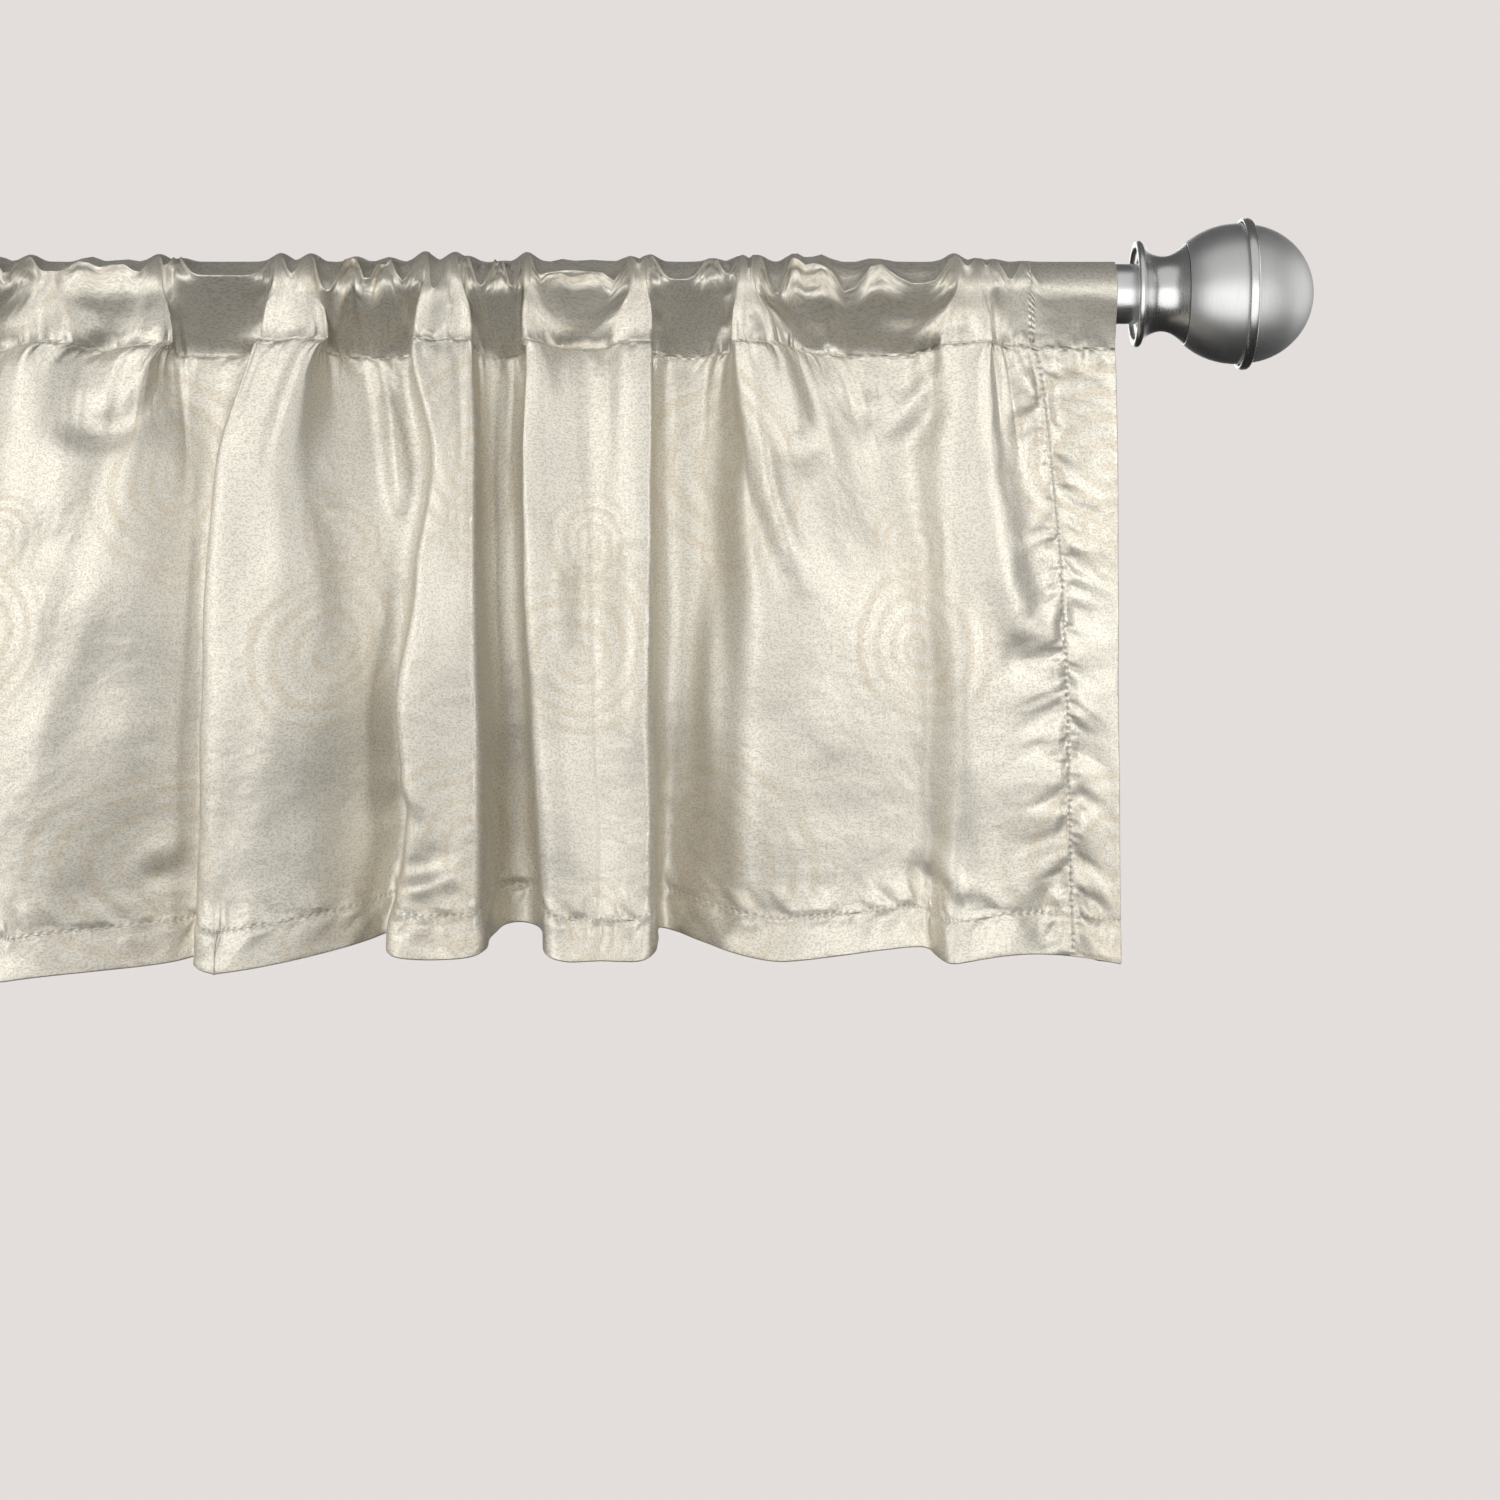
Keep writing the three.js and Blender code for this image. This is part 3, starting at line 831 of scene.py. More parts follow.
@dataclass(frozen=True)
class Crease:
    """A soft ridge, or a trough where its height is below 0, in mm.

    Its path is given by places right of the middle and below the rod's axis. The flank is a trough on one
    side of the ridge, as a share of its height: above 0 on the right of the path.
    """

    STEPS: ClassVar[int] = 6
    PASSES: ClassVar[int] = 4
    NARROW: ClassVar[float] = 5
    NARROW_TAPER: ClassVar[float] = 0.5
    WIDE_TAPER: ClassVar[float] = 1.6
    FLANK_AT: ClassVar[float] = 1.5

    path: tuple[Pair, ...]
    width: float
    height: float
    flank: float = 0.0

    def relief(self, x: Array, drop: Array) -> Array:
        """Height of the crease: a bell curve of the distance from its path, tapered to its ends.

        Args:
            x: places right of the middle, in mm.
            drop: places below the rod's axis, in mm.

        Returns:
            The relief in mm, forward of the cloth.
        """
        given = np.array(self.path, float)
        at = np.linspace(0, len(given) - 1, self.STEPS * len(given))
        path = np.stack([np.interp(at, range(len(given)), given[:, axis]) for axis in (0, 1)], 1)
        for _ in range(self.PASSES):
            path[1:-1] = (path[:-2] + 2 * path[1:-1] + path[2:]) / 4
        run = np.gradient(path, axis=0)
        run /= np.linalg.norm(run, axis=1, keepdims=True)
        place = np.stack([x.ravel(), drop.ravel()], 1).astype(np.float32)
        off = place[:, None, :] - path[None].astype(np.float32)
        nearest = np.argmin((off**2).sum(-1), axis=1)
        own = off[np.arange(len(place)), nearest]
        way = run[nearest]
        beside = own[:, 0] * way[:, 1] - own[:, 1] * way[:, 0]
        at_end = (nearest == 0) | (nearest == len(path) - 1)
        beyond = np.where(at_end, own[:, 0] * way[:, 0] + own[:, 1] * way[:, 1], 0)
        power = self.NARROW_TAPER if self.width < self.NARROW else self.WIDE_TAPER
        share = nearest / (len(path) - 1)
        taper = np.sin(math.pi * share) ** power * np.exp(-((beyond / self.width) ** 2))
        ridge = np.exp(-((beside / self.width) ** 2))
        side = np.exp(-(((beside + np.sign(self.flank) * self.FLANK_AT * self.width) / self.width) ** 2))
        return (self.height * taper * (ridge - abs(self.flank) * side)).reshape(x.shape)


# Creases of the skirt: path, width, height and flank
CREASES = (
    Crease(((19, 43), (30, 55), (49, 60), (66, 51), (72, 37)), 7.5, -3.2),
    Crease(((30, 150), (23, 185), (8, 231)), 9, 2.2),
    Crease(((30, 92), (25, 112), (18, 126)), 11, -1.8),
    Crease(((44, 130), (42, 170), (36, 222)), 16, -3.0),
    Crease(((78, 41), (76, 70), (76, 100)), 6, 1.6),
    Crease(((302, 96), (303, 180), (304, 238)), 5, 1.6),
    Crease(((293, 86), (292, 170), (293, 232)), 8, -1.4),
    Crease(((333, 58), (342, 68), (351, 70)), 8, -2.8),
    Crease(((410, 110), (409, 180), (408, 244)), 8, 2.6),
    Crease(((-22, 130), (-18, 180), (-26, 236)), 15, -3.0),
    Crease(((-128, 90), (-126, 160), (-130, 236)), 10, -2.4),
    Crease(((-228, 120), (-224, 180), (-226, 240)), 16, -3.6),
    Crease(((-360, 90), (-364, 170), (-360, 236)), 17, -4.0),
    Crease(((-300, 70), (-304, 120), (-300, 190)), 7, 2.0),
    Crease(((58, 240), (70, 248), (82, 240)), 5, -1.5),
    Crease(((54, 246), (70, 237), (82, 228)), 5, 1.5),
    Crease(((171, 205), (177, 213), (182, 220)), 3.5, 1.6, 0.6),
    Crease(((168, 246), (182, 243), (197, 236)), 5, -2.4),
    Crease(((171, 253), (184, 251), (198, 245)), 4, 1.9),
    Crease(((262, 104), (270, 106), (281, 107)), 2.6, -1.5),
    Crease(((262, 109), (271, 110.5), (281, 110)), 2.2, 1.2),
    Crease(((268, 121), (276, 122), (282, 126)), 2.6, -1.2),
    Crease(((238, 60), (246, 98), (243, 150)), 10, 1.6, 0.4),
    Crease(((165, 22), (167, 44), (169, 70), (172, 96)), 4.5, 4.5),
    Crease(((317, 26), (322, 60), (326, 84), (335, 112), (345, 134)), 6, 3.6, 0.8),
    Crease(((361, 66), (383, 54), (393, 40), (398, 28)), 5.5, 2.6, 0.5),
    Crease(((356, 44), (368, 50), (380, 46)), 8, -1.5),
    Crease(((410, 34), (422, 78), (426, 120), (436, 146), (446, 162)), 9, 2.4, -0.3),
    Crease(((424, 146), (431, 154), (440, 163)), 7, -2.0),
    Crease(((388, 240), (396, 250), (402, 256)), 4.5, -1.8),
    Crease(((394, 236), (402, 246), (410, 257)), 4.5, 1.8),
    Crease(((-30, 52), (-20, 70), (-6, 76), (6, 66)), 6.5, 2.2, 0.5),
    Crease(((-60, 66), (-74, 92), (-86, 160), (-92, 236)), 9, 1.8),
    Crease(((-168, 60), (-160, 104), (-152, 130)), 7, 2.6, 0.7),
    Crease(((-190, 246), (-200, 240), (-208, 230)), 5, -2.0),
    Crease(((-262, 96), (-254, 99), (-244, 100)), 2.8, -1.4),
    Crease(((-226, 58), (-238, 72), (-256, 66)), 6, 2.0, 0.4),
    Crease(((-300, 236), (-312, 246), (-324, 240)), 5, -1.8),
    Crease(((-330, 48), (-322, 92), (-316, 140)), 8, 2.2, 0.5),
    Crease(((-372, 58), (-386, 50), (-396, 34)), 5.5, 2.2, -0.5),
    Crease(((-408, 36), (-418, 86), (-424, 128), (-440, 152)), 8, 2.8, 0.5),
)


# Creases of the pocket
POCKET_CREASES = (
    Crease(((162, -2), (164, 10), (165, 24)), 3.6, 4.5),
    Crease(((151, -6), (147, 8), (142, 23)), 2.6, 2.6),
    Crease(((152, -6), (157, 8), (160.5, 23)), 2.6, 2.8),
    Crease(((167, -6), (171, 8), (174.5, 23)), 2.4, 2.4),
    Crease(((306, 2), (306, 10), (306, 20)), 3.4, -3.5),
    Crease(((318, 12), (318, 27)), 3.5, 4),
    Crease(((346, 16), (346, 24)), 2.8, 3.2),
    Crease(((347.4, 2), (347.6, 10), (347.6, 19)), 2.2, 1.8, -1.0),
    Crease(((381, 11), (381, 25)), 7.5, 3.4),
    Crease(((409, 12), (409, 24)), 4, 3.4),
    Crease(((-96, 8), (-96, 24)), 7, 4),
    Crease(((-322, 12), (-322, 26)), 3.6, 3.6),
    Crease(((-410, 12), (-410, 24)), 4, 3),
)


@dataclass(frozen=True)
class ControlLines:
    """The control lines of the folds, from the left edge to the right, in mm.

    Each has a place along the rod, points at the seam and at the hem, how far it lies back part of the way
    down and the share of the drop by which it does, and its sideways sway at steps from the seam to the hem.
    """

    top_x: Array
    seam: Array
    hem: Array
    slump: Array
    slump_by: Array
    sway: Array


@dataclass
class FoldHang:
    """How the gathered cloth hangs, in mm: a skirt on a spline through its folds, and a loop on the rod."""

    edge_at_seam: float = 473
    edge_at_hem: float = 476
    edge_drop: float = 284
    edge_forward: float = 12
    pocket_radius: float = 13.5
    seam_drop: float = 26.4
    seam_rise: float = 0.33
    crisp_run: float = -5
    soft_run: float = 8
    widest_run: float = 17
    edge_at_pocket: float = 9
    tent_narrowing: float = 0.6
    most_narrowing: float = 6
    narrow_by: float = math.radians(85)
    seam_back: float = 4
    hem_back: float = 12
    hem_lift: float = 0.4
    hem_flare: float = 3
    corner_lift: float = 3
    flare_from: float = 0.86
    fold_opening: float = 0.5
    crest_angle: float = math.radians(92)
    crest_width: float = 5
    crest_at_seam: float = 1.4
    crest_fade: float = 0.25
    lip_out: float = 4.5
    scoop_out: float = 5
    scoop_from: float = 14
    lip_from: float = 0.6
    lip_run: float = 9
    lip_reach: float = 1.8
    roll_fall: float = 1.5
    low_lip: Pair = (4, -8)
    scoop_spread: int = 4
    spread_loss: float = 0.4
    lip_passes: int = 1
    lip_lowest: float = math.radians(-50)
    lip_highest: float = math.radians(58)
    over_top: float = math.radians(125)
    flat_ends: float = 14
    fold_swell: float = 0.1
    swell_angle: float = math.radians(2)
    sway_steps: tuple[float, ...] = (0, 0.2, 0.4, 0.6, 0.8, 1)
    slump_by: float = 0.5
    slump_until: float = 0.35
    slit_width: float = 2
    slit_depth: float = 2
    slit_run: float = 2
    slit_drops: Triple = (1, 9, 18)
    crest_spread: float = 1.5
    longest_reach: float = 40
    rod_clear: float = 13.45
    rod_passes: int = 3

    def __post_init__(self) -> None:
        """Works out the control lines."""
        self.lines = self.control_lines()
        self.last = len(self.lines.slump) - 1

    def control_lines(self) -> ControlLines:
        """An edge, then foot, shoulder, shoulder and foot of each fold, then an edge.

        Returns:
            The lines from left to right, with two lines for a crisp shoulder.
        """
        rows, sways = [], []
        still = (0,) * len(self.sway_steps)

        def line(
            top: float, seam: Pair, hem: Pair, drop: float, slump: Pair, sway: tuple[float, ...]
        ) -> None:
            """Adds one control line.

            Args:
                top: its place along the rod.
                seam: its place along the seam and how far it stands forward there.
                hem: the same at the hem.
                drop: how far its hem lies below the rod's axis.
                slump: how far it lies back part of the way down, and by what share of the drop.
                sway: its sideways sway at each step.
            """
            at_seam = (seam[0], self.seam_back - seam[1], self.seam_rise * seam[1] - self.seam_drop)
            rows.append((top, *at_seam, hem[0], self.hem_back - hem[1], -drop, *slump))
            sways.append(sway)

        def edge(side: Side) -> None:
            """Adds the line of a side edge.

            Args:
                side: which edge.
            """
            seam, hem = side.value * self.edge_at_seam, side.value * self.edge_at_hem
            at_hem, slump = (hem, self.edge_forward), (0.0, self.slump_by)
            line(seam, (seam, self.edge_at_pocket), at_hem, self.edge_drop, slump, still)

        def flank(fold: Fold, side: Side, beside: Fold) -> None:
            """Adds a foot and its shoulder, or a shoulder and its foot, for one side of a fold.

            Args:
                fold: the fold.
                side: which of its sides.
                beside: the fold that gives the valley on that side.
            """
            way, own, first = side.value, side.index, len(rows)
            seam, hem, run, crisp = fold.seam[own], fold.hem[own], fold.run[own], fold.crisp[own]
            sway = (0, *fold.sway[own], 0)
            width = fold.seam[1] - fold.seam[0]
            top = seam - way * min(self.most_narrowing, self.tent_narrowing * width / 2)
            drop = fold.drop - self.hem_lift * (fold.depth[1] - beside.valley[1])
            seam_run = max(self.soft_run, min(run, self.widest_run)) if crisp is None else self.crisp_run
            at_seam, at_hem = (seam + way * seam_run, beside.valley[0]), (hem + way * run, beside.valley[1])
            line(top, at_seam, at_hem, drop, (-beside.fill[0], beside.fill[1]), sway)
            for inset in (0,) if crisp is None else (0, crisp):
                drop = fold.drop - (0 if crisp is None or inset else self.corner_lift)
                at_hem, slump = (hem - way * inset, fold.depth[1]), (fold.slump, self.slump_by)
                line(top, (seam, fold.depth[0]), at_hem, drop, slump, sway)
            if side is Side.RIGHT:
                rows[first:], sways[first:] = rows[first:][::-1], sways[first:][::-1]

        edge(Side.LEFT)
        before = FOLDS[-1]
        for fold in FOLDS:
            flank(fold, Side.LEFT, before)
            flank(fold, Side.RIGHT, fold)
            before = fold
        edge(Side.RIGHT)
        top, seam, hem, slump = np.split(np.array(rows, float), (1, 4, 7), axis=1)
        return ControlLines(top[:, 0], seam, hem, slump[:, 0], slump[:, 1], np.array(sways, float))

    def slits(self) -> list[Crease]:
        """Narrow troughs of the pocket beside the crisp sides of the folds.

        Returns:
            A trough for each crisp side, from the rod's axis down towards the seam.
        """
        found = []
        for fold in FOLDS:
            for side in Side:
                if fold.crisp[side.index] is not None:
                    at = fold.seam[side.index]
                    low = at + side.value * self.slit_run
                    path = tuple(zip((at, low, low), self.slit_drops))
                    found.append(Crease(path, self.slit_width, -self.slit_depth))
        return found

    def basis(self, t: Array) -> Array:
        """Weights of a uniform cubic B-spline with a mirrored control line past each end.

        Args:
            t: places on the spline, a unit apart from one control line to the next.

        Returns:
            A row of weights on the control lines for each place.
        """
        count = self.last + 1
        start = np.minimum(np.floor(t).astype(int), self.last - 1)
        u = t - start
        w = 1 - u
        four = np.stack([w**3, 3 * u**3 - 6 * u**2 + 4, 3 * w**3 - 6 * w**2 + 4, u**3], 1) / 6
        padded = np.zeros((len(t), count + 2))
        np.put_along_axis(padded, start[:, None] + np.arange(4), four, 1)
        weights = padded[:, 1:-1].copy()
        weights[:, 0] += 2 * padded[:, 0]
        weights[:, 1] -= padded[:, 0]
        weights[:, -1] += 2 * padded[:, -1]
        weights[:, -2] -= padded[:, -1]
        return weights

    def pleats(self, x: Array) -> tuple[Array, Array, Array]:
        """The pocket's pleats at places along the rod.

        A crest is a bell curve of the distance from it. The lip drops from each crest by a smooth step of
        that distance, so it hangs from crest to crest in a U.

        Args:
            x: places along the rod, in mm.

        Returns:
            The height of the crests, the share that the lip stands out and the lip's height above the axis.
        """
        at, lift, lip = np.array([(pleat.at, pleat.lift, pleat.lip) for pleat in PLEATS]).T
        crests = (lift * np.exp(-(((x[:, None] - at) / self.crest_width) ** 2))).max(1)
        low = np.clip(np.searchsorted(at, x) - 1, 0, len(at) - 2)
        gap = at[low + 1] - at[low]
        nearest = np.minimum(np.abs(x - at[low]), np.abs(at[low + 1] - x))
        run = np.minimum(gap / 2, self.lip_run) - self.lip_from
        hang = ease(0, 1, (nearest - self.lip_from) / run)
        ends = ease(at[0], at[0] + self.flat_ends, x) * ease(at[-1], at[-1] - self.flat_ends, x)
        out = ease(self.lip_from / 2, self.lip_reach, nearest)
        top = self.pocket_radius + crests
        return crests, out * ends, (top + (lip[low] - top) * hang) * ends

    def skirt(self, t: Array, level: Array) -> Array:
        """Points of the skirt: the spline through the control lines, which open quickly below the seam.

        Args:
            t: places on the spline, one for each column.
            level: 0 at the seam and 1 at the hem, one for each row.

        Returns:
            Points by row and column, in mm.
        """
        opening = level[:, None] ** self.fold_opening
        seam, hem = self.lines.seam, self.lines.hem
        between = np.interp(level, self.sway_steps, np.arange(len(self.sway_steps)))
        step = np.minimum(between.astype(int), len(self.sway_steps) - 2)
        share = ease(0, 1, between - step)[:, None]
        sway = self.lines.sway.T[step] * (1 - share) + self.lines.sway.T[step + 1] * share
        slump = self.lines.slump * ease(0, self.lines.slump_by, level[:, None])
        slump = slump * ease(1, self.slump_until, level)[:, None]
        control = np.stack(
            [
                seam[:, 0] + (hem[:, 0] - seam[:, 0]) * opening + sway,
                seam[:, 1] + (hem[:, 1] - seam[:, 1]) * opening + slump,
                seam[:, 2] + (hem[:, 2] - seam[:, 2]) * level[:, None],
            ],
            -1,
        )
        points = np.einsum("mn,rnk->rmk", self.basis(t), control)
        hang = self.pleats(self.basis(t) @ self.lines.top_x)[1]
        points[..., 1] -= self.crest_at_seam * ease(self.crest_fade, 0, level)[:, None] * hang
        flare = np.clip((level - self.flare_from) / (1 - self.flare_from), 0, 1) ** 2
        points[..., 1] -= self.hem_flare * flare[:, None]
        return points

    def off_rod(self, loop: Array) -> Array:
        """Moves a loop's points outwards until they, and the middles between four of them, clear the rod.

        Args:
            loop: points by row and column, in mm.

        Returns:
            The points, moved.
        """
        for _ in range(self.rod_passes):
            middle = (loop[:-1, :-1] + loop[1:, :-1] + loop[:-1, 1:] + loop[1:, 1:]) / 4
            distance, between = (np.hypot(points[..., 1], points[..., 2]) for points in (loop, middle))
            short = np.pad(np.maximum(0, self.rod_clear - between), 1)
            beside = np.maximum(short[1:], short[:-1])
            push = np.maximum(np.maximum(beside[:, 1:], beside[:, :-1]), self.rod_clear - distance)
            loop = np.concatenate([loop[..., :1], loop[..., 1:] * (1 + push / distance)[..., None]], -1)
        return loop

    def pocket(self, t: Array, seam: Array, rows: tuple[Array, Array, Array]) -> Array:
        """Points of the pocket: a loop that rises from the seam to its lip, lies over the rod and comes back.

        The lip stands off the rod, straight stretches run from it to the seam and along a tangent to the rod,
        and the loop leaves the rod's back along a tangent that meets the seam.

        Args:
            t: places on the spline, one for each column.
            seam: the seam's points, one for each column, in mm.
            rows: shares from 0 to 1 of the rows from the seam to the lip, over the top, and down the back.

        Returns:
            Points by row and column, in mm.
        """
        top_x = self.basis(t) @ self.lines.top_x
        crests, share, lip_height = self.pleats(top_x)
        low = np.stack([-seam[:, 1], seam[:, 2]], -1)
        seam_angle = np.arctan2(low[:, 1], low[:, 0])
        forward = self.seam_back - seam[:, 1]
        scoop = np.maximum(ease(self.scoop_from, 0, forward), ease(*self.low_lip, lip_height))
        stand = self.lip_out + self.scoop_out * scoop
        lip_sine = np.clip(lip_height / (self.pocket_radius + crests * (1 - share) + stand * share), -1, 1)
        lip_angle = np.arcsin(lip_sine).clip(self.lip_lowest, self.lip_highest)
        for _ in range(self.lip_passes):
            lip_angle[1:-1] = (lip_angle[:-2] + 2 * lip_angle[1:-1] + lip_angle[2:]) / 4
        out = share * np.cos(lip_angle)
        lip_out = self.pocket_radius + crests * (1 - out) + stand * out
        lip = lip_out[:, None] * np.stack([np.cos(lip_angle), np.sin(lip_angle)], -1)
        stops = (seam_angle, lip_angle, np.full_like(lip_angle, self.over_top), seam_angle + 2 * math.pi)
        arcs = zip(stops, stops[1:], rows)
        angle = np.concatenate([start + (end - start) * along[:, None] for start, end, along in arcs])
        around = angle - seam_angle
        from_seam = np.minimum(around, 2 * math.pi - around)
        lift = crests * bump((angle - self.crest_angle) / self.crest_spread)
        radius = self.pocket_radius + lift + self.fold_swell * forward * bump(angle - self.swell_angle)
        seam_reach = np.arccos(np.minimum(1, radius / np.hypot(*low.T)))
        lip_reach = np.arccos(np.minimum(1, radius / np.maximum(lip_out, radius)))
        tangent = radius / np.cos(np.maximum(0, seam_reach - from_seam))
        from_lip = self.roll_fall * np.abs(angle - lip_angle)
        slope = radius / np.cos(np.maximum(0, lip_reach - from_lip))
        rise = lip - low
        straight = np.zeros_like(angle)
        for shift in range(-self.scoop_spread, self.scoop_spread + 1):
            near_low, near_rise, near_lip = (np.roll(part, shift, axis=0) for part in (low, rise, lip_angle))
            across = np.cos(angle) * near_rise[:, 1] - np.sin(angle) * near_rise[:, 0]
            reach = near_low[:, 0] * near_rise[:, 1] - near_low[:, 1] * near_rise[:, 0]
            chord = reach / np.where(np.abs(across) < 1e-6, np.inf, across)
            under = (angle > seam_angle) & (angle <= near_lip) & (chord > 0)
            straight = np.maximum(straight, np.where(under, chord - abs(shift) * self.spread_loss, 0))
        distance = np.maximum(np.maximum(tangent, slope), np.minimum(straight, self.longest_reach))
        x = seam[:, 0] + (top_x - seam[:, 0]) * ease(0, self.narrow_by, from_seam)
        loop = np.stack([x, -distance * np.cos(angle), distance * np.sin(angle)], -1)
        loop[1:-1] = (loop[:-2] + 4 * loop[1:-1] + loop[2:]) / 6
        return loop


@dataclass(frozen=True)
class Ripples:
    """A layer of uneven ripples of the cloth, in mm.

    They have a height, a cell's size across and along the cloth, the seed of their random heights, a slant of
    the cells, and the cell that they start from across and along.
    """

    height: float
    across: float
    along: float
    seed: int
    slant: float = 0.0
    start: Pair = (0, 0)

    def relief(self, across: Array, along: Array) -> Array:
        """Height of the ripples at places across and along the cloth."""
        cell = (across + self.slant * along) / self.across + self.start[0]
        return self.height * ripple(cell, along / self.along + self.start[1], self.seed)


def bell(off: Array, width: float) -> Array:
    """A bell curve that is 1 where off is 0: e to minus the square of off / width."""
    return np.exp(-((off / width) ** 2))


@dataclass
class Valance:
    """The satin sheet with its pocket and its turned hems, in mm."""

    FLAT_MAP: ClassVar[str] = "flat"
    BAKE_MAP: ClassVar[str] = "OFBake"
    BAKE_MARGIN: ClassVar[float] = 0.002

    columns: int = 760
    loop_rows: tuple[int, int, int] = (18, 12, 8)
    hem_rows: tuple[float, int] = (35.7, 16)
    fall_rows: tuple[float, int] = (238, 46)
    seam_rows: int = 14
    skirt_length: float = 258
    finished_width: float = 1306
    hem_depth: float = 18.6
    hem_gap: float = 0.9
    side_hem: float = 29
    side_gap: float = 0.75
    seam_gap: float = 0.8
    stitch_in: float = 1.6
    seam_stitch_drop: float = 1.2
    fold_turns: tuple[float, ...] = (150, 90, 30)
    even_at: tuple[float, ...] = (0.05, 0.25, 0.6, 1.0)
    fine_steps: int = 200
    measured_columns: int = 60
    up_power: float = 1.6
    over_power: float = 1.9
    tuck: int = 3
    tuck_share: float = 0.6
    turned_step: int = 2
    raw_edge: Pair = (0.7, 0.3)
    side_ease: Pair = (5, 1)
    seam_gathers: Ripples = Ripples(1.1, 4.6, 40, 3)
    gather_fade: Pair = (7, 30)
    gather_tail: float = 0.25
    seam_swells: Ripples = Ripples(0.9, 13, 60, 5)
    swell_fade: float = 34
    hem_puckers: Ripples = Ripples(0.5, 7.5, 14, 7, 0.5)
    hem_swells: Ripples = Ripples(0.45, 15, 18, 11, -0.7)
    hem_zone: Pair = (16, -1)
    hem_sink: Pair = (0.3, 1.6)
    hem_step: float = 0.4
    hem_step_at: Pair = (1.5, 5)
    side_sink: Pair = (0.2, 1.8)
    side_puckers: Ripples = Ripples(0.9, 45, 13, 37, 0.0, (11, 0))
    side_slant: float = 0.35
    side_pinned: float = 7
    side_reach: Pair = (32, 4)
    side_below_seam: float = 12
    broad_waves: Ripples = Ripples(1.3, 34, 52, 19)
    small_waves: Ripples = Ripples(0.5, 14, 24, 23)
    loop_gathers: Ripples = Ripples(0.6, 5.5, 30, 29, 0.0, (0, 9))
    loop_gather_fade: float = 12
    loop_waves: Ripples = Ripples(0.25, 11, 22, 31)
    loop_edges: Pair = (-23, 7)
    loop_join: float = 6
    loop_front: float = 5
    loop_behind: float = 5
    finish: SatinFinish = SatinFinish()

    def __post_init__(self) -> None:
        """Lays out the columns evenly along the cloth at some levels, and the rows from hem to seam."""
        self.hang = FoldHang()
        fine = np.linspace(0, self.hang.last, self.fine_steps * self.hang.last)
        levels = self.hang.skirt(fine, np.array(self.even_at))
        steps = np.linalg.norm(np.diff(levels, axis=1), axis=2).mean(0)
        along = np.concatenate([[0], np.cumsum(steps)])
        self.t = np.interp(np.linspace(0, along[-1], self.columns), along, fine)
        self.across = np.linspace(-0.5, 0.5, self.columns) * self.finished_width
        self.spacing = self.finished_width / (self.columns - 1)
        (low, hem_count), (high, fall_count) = self.hem_rows, self.fall_rows
        stops = ((0, low, hem_count), (low, high, fall_count), (high, self.skirt_length, self.seam_rows))
        self.rise = np.concatenate([[0], *(np.linspace(*stop)[1:] for stop in stops)])
        self.hem_row = int(np.argmin(np.abs(self.rise - self.hem_depth)))
        self.seam_row = len(self.rise) - 1
        self.base, self.normals = self.surfaces()

    def from_side_seam(self, across: Array) -> Array:
        """How far places across the cloth lie inside the nearer side hem's stitching."""
        return self.finished_width / 2 - np.abs(across) - self.side_hem

    def side_zone(self, across: Array) -> Array:
        """1 where the side hem makes the cloth double, easing to 0 inside it."""
        return ease(*self.side_ease, self.from_side_seam(across))

    def skirt_relief(self, skirt: Array) -> Array:
        """Relief of the skirt, forward in mm: creases, puckers along the stitching and a soft unevenness.

        Args:
            skirt: the smooth skirt's points by row and column, in mm.

        Returns:
            The relief by row and column.
        """
        across, rise = self.across[None, :], self.rise[:, None]
        drop = self.skirt_length - rise
        relief = sum(crease.relief(skirt[..., 0], -skirt[..., 2]) for crease in CREASES)
        near, far = (np.exp(-drop / fade) for fade in self.gather_fade)
        relief += (near + self.gather_tail * far) * self.seam_gathers.relief(across, drop)
        relief += np.exp(-drop / self.swell_fade) * self.seam_swells.relief(across, drop)
        in_hem = ease(self.hem_depth + self.hem_zone[0], self.hem_depth + self.hem_zone[1], rise)
        relief += in_hem * (self.hem_puckers.relief(across, rise) + self.hem_swells.relief(across, rise))
        from_stitch = rise - self.hem_depth + self.stitch_in
        relief -= self.hem_sink[0] * bell(from_stitch, self.hem_sink[1])
        step_from, step_to = (self.hem_depth - at for at in self.hem_step_at)
        relief += self.hem_step * ease(step_from, step_to, rise)
        inside = self.from_side_seam(across)
        away = np.abs(inside)
        relief -= self.side_sink[0] * bell(inside, self.side_sink[1])
        pinned = ease(0, self.side_pinned, away) * ease(*self.side_reach, away)
        pinned = pinned * ease(0, self.side_below_seam, drop)
        relief += pinned * self.side_puckers.relief(inside, drop + self.side_slant * away)
        return relief + self.broad_waves.relief(across, rise) + self.small_waves.relief(across, rise)

